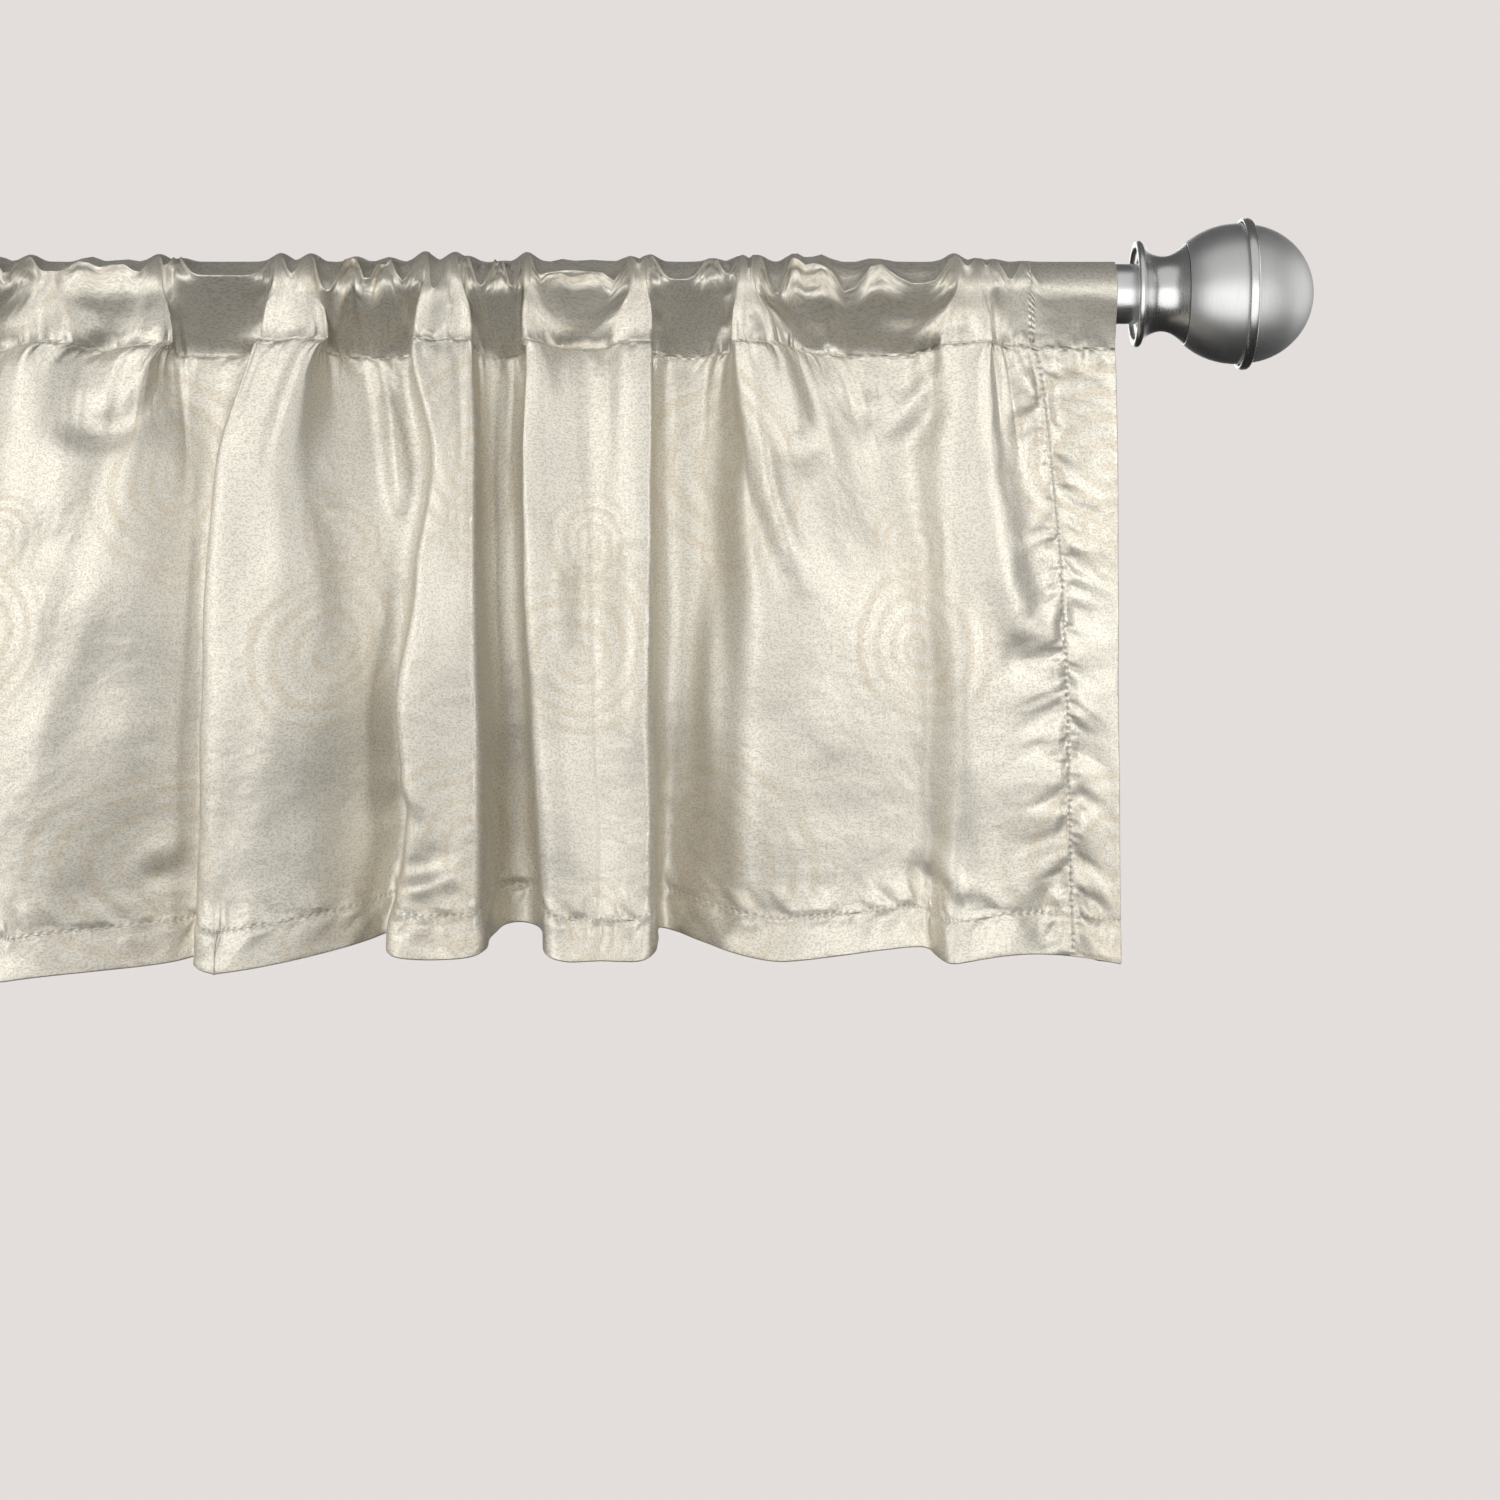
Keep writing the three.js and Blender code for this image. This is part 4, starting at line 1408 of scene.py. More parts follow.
    def surfaces(self) -> tuple[Array, Array]:
        """The skirt from hem to seam and then the pocket loop from seam to seam, with their puckers.

        Returns:
            The points by row and column, in mm, and their normals.
        """
        skirt = self.hang.skirt(self.t, 1 - self.rise / self.skirt_length)
        up, over, down = (np.linspace(0, 1, count + 1)[1:] for count in self.loop_rows)
        rows = (1 - (1 - up) ** self.up_power, over**self.over_power, down)
        loop = self.hang.pocket(self.t, skirt[-1], rows)
        puckered = skirt + grid_normals(skirt) * self.skirt_relief(skirt)[..., None]
        skirt_normals = grid_normals(puckered)
        whole = np.concatenate([skirt[-1:], loop])
        length = np.cumsum(np.linalg.norm(np.diff(whole, axis=0), axis=2), axis=0)
        from_seam = np.minimum(length, length[-1] - length)
        near = np.exp(-from_seam / self.loop_join)
        across = self.across[None, :]
        relief = np.exp(-from_seam / self.loop_gather_fade) * self.loop_gathers.relief(across, from_seam)
        relief += self.loop_waves.relief(across, length)
        relief = relief * (1 - near) * ease(*self.loop_edges, self.from_side_seam(across))
        front = slice(0, self.loop_rows[0] + self.loop_rows[1])
        seen, drop = loop[front, :, 0], -loop[front, :, 2]
        folds = sum(crease.relief(seen, drop) for crease in (*POCKET_CREASES, *self.hang.slits()))
        relief[front] += folds * ease(0, self.loop_front, -loop[front, :, 1]) * (1 - near[front])
        joined = near[..., None] * (puckered[-1] - skirt[-1])
        loop = self.hang.off_rod(loop + grid_normals(whole)[1:] * relief[..., None] + joined)
        behind = self.seam_gap * np.exp(-(length[-1] - length) / self.loop_behind)
        loop = loop - skirt_normals[-1] * behind[..., None]
        loop_normals = grid_normals(np.concatenate([puckered[-1:], loop]))[1:]
        return np.concatenate([puckered, loop]), np.concatenate([skirt_normals, loop_normals])

    def turned_layers(self, edge: int, gap: float) -> list[tuple[float, float, float, float]]:
        """A turned hem, from its tucked edge along its back and round its fold.

        Args:
            edge: the row or column where the hem ends on the cloth.
            gap: how far its layer lies behind the face, in mm.

        Returns:
            For each line of it: its row or column on the surfaces, its depth, its way and its shift outwards.
        """
        turns = np.radians(self.fold_turns)
        layers = [(edge - self.tuck, -gap / 2, 0, 0), (edge, -self.tuck_share * gap, 0, 0)]
        layers += [(line, -gap, -1, 0) for line in (*range(edge, 0, -self.turned_step), 0)]
        layers += [(0, -gap / 2 * (1 - math.cos(a)), -math.cos(a), gap / 2 * math.sin(a)) for a in turns]
        return layers

    def row_layers(self) -> Array:
        """The strip from the hem's tucked edge, down its back, up the front and round the pocket.

        Returns:
            For each row of the sheet: its row on the surfaces, its depth, its way and its shift down.
        """
        rows = self.turned_layers(self.hem_row, self.hem_gap)
        self.front_row = len(rows)
        rows += [(row, 0, 1, 0) for row in range(len(self.base))]
        share, shift = self.raw_edge
        seam, back = self.seam_row, self.seam_gap
        low = seam - self.turned_step
        rows += [(low, -back, -1, 0), (low, -share * back, 0, shift), (seam, -back / 2, 0, 0)]
        return np.array(rows)

    def column_layers(self) -> Array:
        """The strip from the tucked edge of the left side hem, across the face, to that of the right one.

        Returns:
            For each column of the sheet: its column on the surfaces, its depth and its shift outwards.
        """
        turned_in = self.turned_layers(round(self.side_hem / self.spacing), self.side_gap)
        left = [(column, depth, shift) for column, depth, _, shift in turned_in]
        self.front_column = len(left)
        right = [(self.columns - 1 - column, depth, shift) for column, depth, shift in reversed(left)]
        return np.array(left + [(column, 0, 0) for column in range(self.columns)] + right)

    def build(self) -> bpy.types.Object:
        """The sheet as one grid: the surfaces' points, moved along their normals by each layer's depth.

        Returns:
            The sheet, with its flat places in metres in one UV map and the whole of it spread over another.
        """
        rows, columns = self.row_layers(), self.column_layers()
        row, column = rows[:, 0].astype(int), columns[:, 0].astype(int)
        thicker = 2 * self.side_gap / self.hem_gap * self.side_zone(self.across[column])
        depth = rows[:, 1:2] * (1 + thicker) + rows[:, 2:3] * columns[:, 1]
        points = self.base[np.ix_(row, column)] + self.normals[np.ix_(row, column)] * depth[..., None]
        points += unit(self.base[0] - self.base[1])[column] * rows[:, 3, None, None]
        left, right = unit(self.base[:, 0] - self.base[:, 1]), unit(self.base[:, -1] - self.base[:, -2])
        outwards = np.where((column < self.columns / 2)[:, None], left[row][:, None], right[row][:, None])
        points += outwards * columns[:, 2, None]
        middle = len(columns) // 2
        centre = slice(middle - self.measured_columns, middle + self.measured_columns)
        steps = np.linalg.norm(np.diff(points[:, centre], axis=0), axis=2).mean(1)
        self.row_place = np.concatenate([[0], np.cumsum(steps)])
        turned = np.abs(np.diff(self.across[column[: self.front_column + 1]]))
        outer = np.maximum(turned, self.side_gap / 2)[::-1].cumsum()
        column_place = np.concatenate([self.across[0] - outer[::-1], self.across, self.across[-1] + outer])
        flat = np.stack(np.meshgrid(column_place * MM, self.row_place * MM), -1).reshape(-1, 2)
        quads = grid_quads(len(rows), len(columns))
        corners, low, high = flat[quads].reshape(-1, 2), flat.min(0), flat.max(0)
        spread = self.BAKE_MARGIN + (1 - 2 * self.BAKE_MARGIN) * (corners - low) / (high - low)
        maps = {self.FLAT_MAP: corners, self.BAKE_MAP: spread}
        self.flat_size = tuple(float(size) for size in high - low)
        return new_piece("valance_cloth", points * MM, quads, maps)

    def dress(self, sheet: bpy.types.Object) -> None:
        """Gives the sheet its satin, with pinches along its stitch lines.

        Args:
            sheet: the finished sheet.
        """
        front = self.row_place[self.front_row : self.front_row + len(self.rise)]
        lines = np.interp(self.stitch_rises(), self.rise, front) * MM
        side = (self.finished_width / 2 - self.side_hem + self.stitch_in) * MM
        sheet.data.materials.append(self.finish.material([float(line) for line in lines], [-side, side]))

    def stitch_rises(self) -> Array:
        """Heights of the hem's and the seam's stitching above the bottom edge."""
        return np.array([self.hem_depth - self.stitch_in, self.skirt_length - self.seam_stitch_drop])

    def sample(self, row: Array, column: Array) -> tuple[Array, Array]:
        """Points and normals at fractional rows and columns of the surfaces, linear between the four nearest.

        Args:
            row: rows, with fractions.
            column: columns, with fractions, of the same shape.

        Returns:
            The points in mm and the normals.
        """
        low_r = np.clip(np.floor(row).astype(int), 0, len(self.base) - 2)
        low_c = np.clip(np.floor(column).astype(int), 0, self.columns - 2)
        share_r, share_c = (row - low_r)[..., None], (column - low_c)[..., None]

        def between(grid: Array) -> Array:
            """One grid's values at the places.

            Args:
                grid: values by row and column.

            Returns:
                The values between the four nearest.
            """
            lower = grid[low_r, low_c] * (1 - share_c) + grid[low_r, low_c + 1] * share_c
            upper = grid[low_r + 1, low_c] * (1 - share_c) + grid[low_r + 1, low_c + 1] * share_c
            return lower * (1 - share_r) + upper * share_r

        return between(self.base), unit(between(self.normals))


@dataclass
class Stitching:
    """Lockstitches of the hem, the pocket seam and the side hems, on the front and on the back, in mm."""

    cloth: Valance
    thread_radius: float = 0.22
    pitch: float = 2.9
    covered: float = 0.8
    sink: float = 0.05
    sides: int = 5
    edge_clear: float = 2
    end_length: float = 0.1
    ring_share: tuple[float, ...] = (0.0, 0.18, 0.5, 0.82, 1.0)
    ring_size: tuple[float, ...] = (0.35, 0.9, 1.0, 0.9, 0.35)
    finish: ThreadFinish = ThreadFinish()

    def lines(self) -> list[tuple[Array, Array, Array, float]]:
        """Every line of stitches.

        Returns:
            For each line the rows and the columns of its rings by stitch, their depth behind the face, and 1
            on the front of the cloth or -1 on its back.
        """
        cloth = self.cloth
        shares = 0.5 + (np.array(self.ring_share) - 0.5) * self.covered
        half = cloth.finished_width / 2
        count = int((half - self.edge_clear) / self.pitch)
        across = (np.arange(-count, count)[:, None] + shares) * self.pitch
        column = (across + half) / cloth.spacing
        zone = cloth.side_zone(across)
        rise = cloth.stitch_rises()
        row = np.interp(rise, cloth.rise, np.arange(len(cloth.rise)))
        gaps = (cloth.hem_gap, cloth.seam_gap)
        found = []
        for at, gap in zip(row, gaps):
            behind = gap * (1 + 2 * cloth.side_gap / cloth.hem_gap * zone)
            found.append((np.full_like(column, at), column, 0 * column, 1.0))
            found.append((np.full_like(column, at), column, behind, -1.0))
        length = np.linalg.norm(np.diff(cloth.base[:, :2].mean(1), axis=0), axis=1)
        height = np.concatenate([[0], np.cumsum(length)])
        tall = (np.arange(1, int(height[-1] / self.pitch) - 1)[:, None] + shares) * self.pitch
        tall_row = np.interp(tall, height, np.arange(len(height)))
        for side in Side:
            place = (side.value * (half - cloth.side_hem + cloth.stitch_in) + half) / cloth.spacing
            tall_column = np.full_like(tall_row, place)
            found.append((tall_row, tall_column, 0 * tall_row, 1.0))
            found.append((tall_row, tall_column, np.full_like(tall_row, cloth.side_gap), -1.0))
        return found

    def build(self) -> bpy.types.Object:
        """All the stitches as one mesh: rings round the thread's path, closed with a point at each end.

        Returns:
            The thread.
        """
        angle = np.arange(self.sides) * 2 * math.pi / self.sides
        size = np.array(self.ring_size) * self.thread_radius
        parts = []
        for row, column, behind, way in self.lines():
            point, normal = self.cloth.sample(row, column)
            centre = point - normal * behind[..., None] + way * normal * (self.thread_radius - self.sink)
            along = unit(np.gradient(centre, axis=1))
            beside = unit(np.cross(along, normal))
            ring = np.cos(angle)[:, None] * beside[:, :, None] + np.sin(angle)[:, None] * normal[:, :, None]
            tube = centre[:, :, None] + ring * size[None, :, None, None]
            start = centre[:, :1] - along[:, :1] * self.end_length
            end = centre[:, -1:] + along[:, -1:] * self.end_length
            parts.append(np.concatenate([start, tube.reshape(len(row), -1, 3), end], axis=1))
        points = np.concatenate(parts)
        rings = len(size)
        last = 1 + rings * self.sides
        corner = np.arange(self.sides)
        after = (corner + 1) % self.sides
        quads = 1 + grid_quads(rings, self.sides, closed=True)[:, ::-1]
        start = np.stack([0 * corner, 1 + corner, 1 + after], 1)
        end = np.stack([0 * corner + last, last - self.sides + after, last - self.sides + corner], 1)
        offset = (np.arange(len(points)) * (last + 1))[:, None, None]
        shapes = (quads, start, end)
        faces = [face for shape in shapes for face in (offset + shape).reshape(-1, shape.shape[1])]
        return new_piece("stitching", points * MM, faces, {})

    def dress(self, thread: bpy.types.Object) -> None:
        """Gives the stitches their thread."""
        thread.data.materials.append(self.finish.material())


# Metalwork


TURNED_MARGIN = 0.004


def bezier(*points: Pair, count: int = 12) -> Array:
    """Points on a Bezier curve: each pass of straight blends between neighbours leaves one point fewer.

    Args:
        points: its control points.
        count: how many points to place after its start.

    Returns:
        The points after the start.
    """
    share = np.linspace(0, 1, count + 1)[1:, None]
    curves = [np.array(point, float) + 0 * share for point in points]
    while len(curves) > 1:
        curves = [first + (second - first) * share for first, second in zip(curves, curves[1:])]
    return curves[0]


def ellipse(centre: Pair, half: Pair, start: float, end: float, count: int) -> Array:
    """Points on an ellipse between two angles: the cosine and the sine of the angle by its half sizes.

    Args:
        centre: place along the axis and radius of the centre.
        half: half sizes along the axis and out from it.
        start: first angle in degrees, 0 along the axis.
        end: last angle.
        count: how many points.

    Returns:
        The points, both ends included.
    """
    angle = np.radians(np.linspace(start, end, count))
    return np.stack([centre[0] + half[0] * np.cos(angle), centre[1] + half[1] * np.sin(angle)], 1)


def turned(name: str, profile: Array, sides: int, sharp: float = 35) -> bpy.types.Object:
    """A closed turned piece: a profile of (place along X, radius) in mm carried round the X axis.

    A profile that ends on the axis closes there in a point, and one that doesn't closes on itself.

    Args:
        name: the piece's name.
        profile: the profile's points.
        sides: steps round the axis.
        sharp: edges bent by more than this angle in degrees stay crisp.

    Returns:
        The piece, with its angle and its length along the profile as a UV map.
    """
    to_axis = abs(profile[0, 1]) < 1e-9
    rings = profile[1:-1] if to_axis else np.concatenate([profile, profile[:1]])
    angle = np.arange(sides) * 2 * math.pi / sides
    around = np.stack([np.ones(sides), np.cos(angle), np.sin(angle)], 1)
    grid = np.stack([rings[:, 0], rings[:, 1], rings[:, 1]], 1)[:, None] * around
    path = profile if to_axis else rings
    run = np.concatenate([[0], np.cumsum(np.linalg.norm(np.diff(path, axis=0), axis=1))])
    run = TURNED_MARGIN + (1 - 2 * TURNED_MARGIN) * run / run[-1]
    height = run[1:-1] if to_axis else run
    quads = grid_quads(len(rings), sides, closed=True)
    low = np.arange(len(rings) - 1)[:, None]
    column = np.arange(sides) / sides
    following = column + 1 / sides
    corner = np.stack([column, following, following, column], -1)
    across = np.broadcast_to(corner, (len(rings) - 1, sides, 4))
    up = np.stack([height[low], height[low], height[low + 1], height[low + 1]], -1)
    places = np.stack([across, np.broadcast_to(up, across.shape)], -1).reshape(-1, 2)
    if not to_axis:
        quads = quads % ((len(rings) - 1) * sides)
        return crisp(new_piece(name, grid[:-1] * MM, quads, {Valance.BAKE_MAP: places}), sharp)
    points = np.concatenate([[[profile[0, 0], 0, 0]], grid.reshape(-1, 3), [[profile[-1, 0], 0, 0]]])
    one = np.arange(sides)
    after, top = (one + 1) % sides, 1 + (len(rings) - 1) * sides
    start = np.stack([0 * one, 1 + after, 1 + one], 1)
    end = np.stack([top + one, top + after, 0 * one + len(points) - 1], 1)
    middle = (column + following) / 2
    fans = (
        ((middle, following, column), (run[0], run[1], run[1])),
        ((column, following, middle), (run[-2], run[-2], run[-1])),
    )
    for fan_across, fan_up in fans:
        fan = np.stack([np.stack(fan_across, 1), np.broadcast_to(fan_up, (sides, 3))], -1)
        places = np.concatenate([places, fan.reshape(-1, 2)])
    faces = [*(1 + quads), *start, *end]
    return crisp(new_piece(name, points * MM, faces, {Valance.BAKE_MAP: places}), sharp)


def crisp(piece: bpy.types.Object, angle: float) -> bpy.types.Object:
    """Keeps edges bent by more than an angle in degrees sharp in a smooth piece."""
    piece.data.set_sharp_from_angle(angle=math.radians(angle))
    return piece


@dataclass
class Rod:
    """The tube that the cloth hangs on, in mm."""

    diameter: float = 25.4
    wall: float = 0.8
    half_length: float = 499
    edge: float = 0.25
    sides: int = 128
    finish: MetalFinish = ROD_STEEL

    def build(self) -> bpy.types.Object:
        """The tube: a long rectangle of the wall, with eased edges, carried round the axis.

        Returns:
            The tube.
        """
        outer, end, edge = self.diameter / 2, self.half_length, self.edge
        inner = outer - self.wall
        profile = [(-end, inner + edge), (-end + edge, inner), (end - edge, inner), (end, inner + edge)]
        profile += [(end, outer - edge), (end - edge, outer), (-end + edge, outer), (-end, outer - edge)]
        return turned("rod_tube", np.array(profile[::-1]), self.sides)


@dataclass
class Finial:
    """The finial at one end of the rod, in mm. Places run outwards along the axis from its ring's plane."""

    side: Side
    ring_plane: float = 528.7
    rod_end: float = 499.3
    bore: float = 13.0
    gap: float = 0.15
    rim_at: float = -45.4
    rim_radius: float = 22.5
    rim_bead: float = 1.7
    rim_turn: Pair = (-90, -330)
    throat_at: float = -41
    flare: Pair = (-42.2, 18.2)
    waist: Pair = (-34.9, 15.9)
    waist_ease: float = 3.7
    swell: Pair = (-28.4, 18.6)
    shoulder: Pair = (-25.65, 20.9)
    bulb_centre: float = -3
    bulb_half: Pair = (32.6, 29.6)
    cap_radius: float = 29.2
    ring_radii: Pair = (29.95, 32.1)
    ring_half_width: float = 2.2
    rim_steps: int = 21
    bulb_steps: int = 40
    cap_steps: int = 36
    ring_steps: int = 33
    sides: int = 128

    def neck(self) -> Array:
        """Profile of the neck: a bore for the rod, a flare inside a rolled rim, a waist and a shoulder.

        Returns:
            Its points, from the axis to the axis.
        """
        floor = self.rod_end - self.ring_plane
        waist_at, waist_radius = self.waist
        bend = (self.rim_at, self.bore + self.rim_bead)
        rim_centre = (self.rim_at, self.rim_radius - self.rim_bead)
        rim_start = self.rim_radius - 2 * self.rim_bead
        bore = [(floor, 0), (floor, self.bore), (self.throat_at, self.bore)]
        flare = bezier((self.throat_at, self.bore), bend, (self.rim_at, rim_start))
        rim = ellipse(rim_centre, (self.rim_bead, self.rim_bead), *self.rim_turn, self.rim_steps)
        down = bezier(tuple(rim[-1]), self.flare, (waist_at - self.waist_ease, waist_radius), self.waist)
        up = bezier(self.waist, (waist_at + self.waist_ease, waist_radius), self.swell, self.shoulder)
        return np.concatenate([bore, flare, rim, down, up, [(self.shoulder[0], 0)]])

    def bulb(self) -> Array:
        """Profile of the bulb: an ellipse cut flat at the neck and at the ring.

        Returns:
            Its points, from the axis to the axis.
        """
        start, end = self.shoulder[0] + 2 * self.gap, -self.gap
        cosines = [(at - self.bulb_centre) / self.bulb_half[0] for at in (start, end)]
        turn = [math.degrees(math.acos(cosine)) for cosine in cosines]
        curve = ellipse((self.bulb_centre, 0), self.bulb_half, *turn, self.bulb_steps)
        return np.concatenate([[(start, 0)], curve, [(end, 0)]])

    def cap(self) -> Array:
        """Profile of the cap: half a ball outside the ring.

        Returns:
            Its points, from the axis to the axis.
        """
        edge = math.degrees(math.acos(self.gap / self.cap_radius))
        curve = ellipse((0, 0), (self.cap_radius, self.cap_radius), edge, 0, self.cap_steps)
        return np.concatenate([[(self.gap, 0)], curve[:-1], [(self.cap_radius, 0)]])

    def ring(self) -> Array:
        """Profile of the ring: a bead round the joint of the bulb and the cap."""
        middle, half = sum(self.ring_radii) / 2, (self.ring_radii[1] - self.ring_radii[0]) / 2
        return ellipse((0, middle), (self.ring_half_width, half), 180, -180, self.ring_steps)[:-1]

    def build(self) -> list[tuple[bpy.types.Object, str]]:
        """Turns the finial's pieces.

        Returns:
            Each piece with the name of the solid that it stands for.
        """
        shapes = {
            "neck": (self.neck(), POLISHED_NICKEL),
            "bulb": (self.bulb(), BRUSHED_NICKEL),
            "ring": (self.ring(), POLISHED_NICKEL),
            "cap": (self.cap(), SATIN_NICKEL),
        }
        pieces = []
        for part, (profile, finish) in shapes.items():
            node = f"finial_{part}_{self.side.name.lower()}"
            piece = turned(f"{node}_turned", profile + (self.ring_plane, 0), self.sides)
            if self.side is Side.LEFT:
                points = np.empty(3 * len(piece.data.vertices), np.float32)
                piece.data.vertices.foreach_get("co", points)
                piece.data.vertices.foreach_set("co", (points.reshape(-1, 3) * (-1, -1, 1)).ravel())
                piece.data.update()
            piece.data.materials.append(finish.material())
            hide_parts(node)
            pieces.append((piece, node))
        return pieces


# Setting


class Lit(Enum):
    """What a lamp lights, with the name of its collection."""

    CLOTH = "clothwork"
    METAL = "metalwork"
    GROUND = "ground"


@dataclass(frozen=True)
class Lamp:
    """A rectangular lamp that lights some of the pieces.

    It has a place, a target, and a width and a height, in metres, a power in watts and a spread in degrees.
    """

    name: str
    lit: Lit
    place: Triple
    target: Triple
    size: Pair
    power: float
    spread: float = 180

    def build(self, lit: bpy.types.Collection) -> None:
        """Adds the lamp.

        Args:
            lit: the pieces that it lights.
        """
        data = bpy.data.lights.new(self.name, "AREA")
        data.shape, data.size, data.size_y, data.energy = "RECTANGLE", *self.size, self.power
        data.spread = math.radians(self.spread)
        lamp = bpy.data.objects.new(self.name, data)
        lamp.location = self.place
        lamp.light_linking.receiver_collection = lit
        way = Vector(self.target) - Vector(self.place)
        lamp.rotation_euler = way.to_track_quat("-Z", "Y").to_euler()
        bpy.context.scene.collection.objects.link(lamp)


LAMPS = (
    Lamp("key", Lit.CLOTH, (-0.75, -1.7, 0.26), (0.2, 0, -0.14), (1.3, 0.45), 16.8),
    Lamp("front", Lit.CLOTH, (0.5, -2.1, 0.22), (0.3, 0, -0.14), (1.0, 0.45), 5),
    Lamp("left", Lit.CLOTH, (-1.5, -0.5, 0.05), (0.1, 0, -0.12), (0.7, 0.6), 4),
    Lamp("right", Lit.CLOTH, (1.35, -1.4, 0.14), (0.52, 0, -0.14), (0.5, 0.45), 0.6, 36),
    Lamp("back", Lit.CLOTH, (0.0, 1.8, 0.1), (0, 0, -0.15), (1.6, 0.6), 20),
    Lamp("metal_back", Lit.METAL, (0.0, 1.5, 0.3), (0, 0, 0), (2.4, 1.0), 10),
    Lamp("floor_light", Lit.GROUND, (0, 0, 1.6), (0, 0, -1), (4.0, 4.0), 130),
    Lamp("metal_low", Lit.METAL, (0.5, -0.9, -0.34), (0.53, 0, 0), (2.6, 1.1), 11.5),
    Lamp("metal_side", Lit.METAL, (1.8, 0.2, 0.1), (0.53, 0, 0), (1.4, 1.4), 6),
    Lamp("metal_high", Lit.METAL, (0.53, -0.76, 0.76), (0.53, 0, 0), (2.4, 1.6), 6),
)


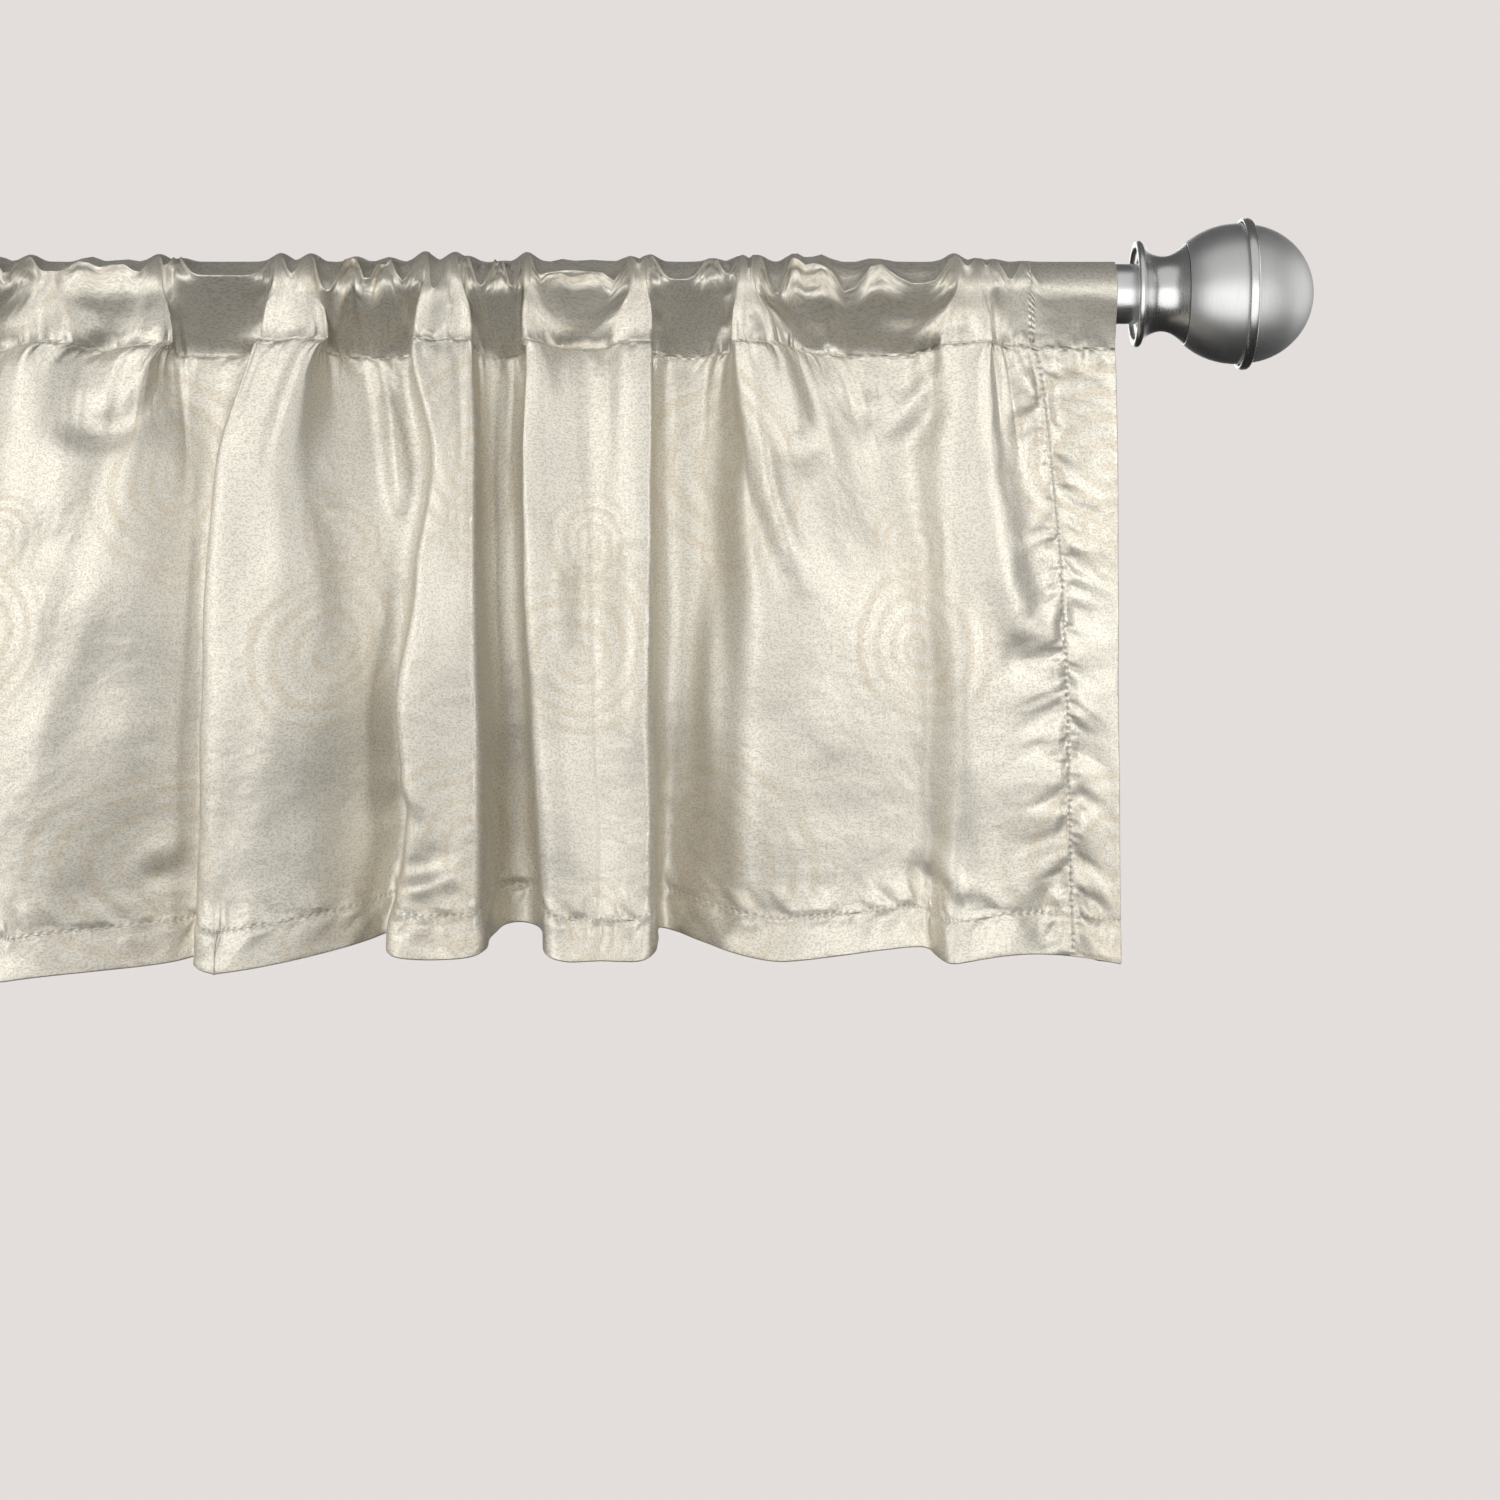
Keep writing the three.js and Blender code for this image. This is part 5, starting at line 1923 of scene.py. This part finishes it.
@dataclass
class Studio:
    """A pale floor and backdrop, soft light, and a camera square to the right half of the valance."""

    scale: float = 0.000425
    pixels: int = 1500
    axis_pixel: float = 294
    camera_distance: float = 1.3
    sensor: float = 36
    backdrop: Colour = (0.768, 0.730, 0.708, 1)
    sky: tuple[tuple[float, Colour], ...] = (
        (0.32, (0.02, 0.02, 0.02, 1)),
        (0.50, (0.225, 0.222, 0.218, 1)),
        (0.75, (0.115, 0.115, 0.115, 1)),
        (1.0, (0.095, 0.095, 0.095, 1)),
    )
    floor_drop: float = 1.15
    floor_half: float = 2.5
    floor_back: float = 2.4
    floor_colours: tuple[Colour, Colour] = ((0.6, 0.58, 0.56, 1), (0.66, 0.64, 0.62, 1))
    floor_cloud: float = 3.0
    floor_roughness: float = 0.7

    def camera(self) -> None:
        """A level camera that sees a square of the picture's size on the plane of the rod's axis."""
        data = bpy.data.cameras.new("camera")
        data.sensor_width = self.sensor
        data.lens = self.sensor * self.camera_distance / (self.pixels * self.scale)
        camera = bpy.data.objects.new("camera", data)
        middle = self.pixels / 2
        height = (self.axis_pixel - middle) * self.scale
        camera.location = (middle * self.scale, -self.camera_distance, height)
        camera.rotation_euler = (math.pi / 2, 0, 0)
        bpy.context.scene.collection.objects.link(camera)
        bpy.context.scene.camera = camera

    def world(self) -> None:
        """A pale backdrop for the camera, and a dimmer sky that is dark below as the rest of the light."""
        world = bpy.data.worlds.new("studio")
        world.use_nodes = True
        tree = world.node_tree
        tree.nodes.clear()
        add, link = tree.nodes.new, tree.links.new
        place, parts = add("ShaderNodeTexCoord"), add("ShaderNodeSeparateXYZ")
        ramp, share = add("ShaderNodeValToRGB"), add("ShaderNodeMath")
        share.operation = "MULTIPLY_ADD"
        share.inputs[1].default_value = share.inputs[2].default_value = 0.5
        link(place.outputs["Generated"], parts.inputs[0])
        link(parts.outputs[2], share.inputs[0])
        link(share.outputs[0], ramp.inputs[0])
        stops = ramp.color_ramp.elements
        for number, (at, colour) in enumerate(self.sky):
            stop = stops[number] if number < len(stops) else stops.new(at)
            stop.position, stop.color = at, colour
        sky, pale = add("ShaderNodeBackground"), add("ShaderNodeBackground")
        link(ramp.outputs[0], sky.inputs[0])
        pale.inputs[0].default_value = self.backdrop
        mix = add("ShaderNodeMixShader")
        link(add("ShaderNodeLightPath").outputs["Is Camera Ray"], mix.inputs[0])
        link(sky.outputs[0], mix.inputs[1])
        link(pale.outputs[0], mix.inputs[2])
        link(mix.outputs[0], add("ShaderNodeOutputWorld").inputs[0])
        bpy.context.scene.world = world

    def floor(self) -> bpy.types.Object:
        """A floor that shows to the camera alone, with a soft unevenness of its tone.

        Returns:
            The floor, which belongs to the setting.
        """
        half, back, down = self.floor_half, self.floor_back, -self.floor_drop
        corners = [(-half, -half, down), (half, -half, down), (half, back, down), (-half, back, down)]
        mesh = bpy.data.meshes.new("floor")
        mesh.from_pydata(corners, [], [(0, 1, 2, 3)])
        floor = bpy.data.objects.new("floor", mesh)
        bpy.context.scene.collection.objects.link(floor)
        nodes = Nodes("pale_floor")
        cloud = nodes.noise(nodes.place(), self.floor_cloud, detail=3.0)
        toned = nodes.mix(cloud, *self.floor_colours)
        mesh.materials.append(nodes.finish(Base_Color=toned, Roughness=self.floor_roughness))
        floor.visible_diffuse = floor.visible_glossy = False
        return floor

    def group(self, lit: Lit, pieces: list[bpy.types.Object]) -> bpy.types.Collection:
        """A collection of pieces that have lamps of their own.

        Args:
            lit: what kind of pieces they are.
            pieces: the pieces.

        Returns:
            The new collection.
        """
        found = bpy.data.collections.new(lit.value)
        for piece in pieces:
            found.objects.link(piece)
        return found

    def build(self, clothwork: list[bpy.types.Object], metalwork: list[bpy.types.Object]) -> None:
        """Sets up the floor, the lamps, the world and the camera.

        Args:
            clothwork: the sheet and its thread.
            metalwork: the rod and the finials.
        """
        pieces = {Lit.CLOTH: clothwork, Lit.METAL: metalwork, Lit.GROUND: [self.floor()]}
        groups = {lit: self.group(lit, own) for lit, own in pieces.items()}
        for lamp in LAMPS:
            lamp.build(groups[lamp.lit])
        self.world()
        self.camera()
        bpy.context.scene.view_settings.view_transform = "Standard"


def main() -> None:
    """Builds the cloth, its stitching, the rod, both finials and the setting."""
    logging.basicConfig(level=logging.INFO, format="%(name)s: %(message)s", stream=sys.stdout)
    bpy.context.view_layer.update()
    valance = Valance()
    sheet = valance.build()
    valance.dress(sheet)
    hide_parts("valance")
    stitching = Stitching(valance)
    thread = stitching.build()
    stitching.dress(thread)
    report(sheet, "flat size {:.3f} x {:.3f} m".format(*valance.flat_size))
    report(thread, "sewing of the hems and the pocket")
    rod = Rod()
    tube = rod.build()
    tube.data.materials.append(rod.finish.material())
    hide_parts("rod")
    report(tube, "inside the pocket")
    metalwork = [tube]
    for side in Side:
        for piece, node in Finial(side).build():
            report(piece, f"stands for {node}")
            metalwork.append(piece)
    Studio().build([sheet, thread], metalwork)
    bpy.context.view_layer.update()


if __name__ == "__main__":
    main()
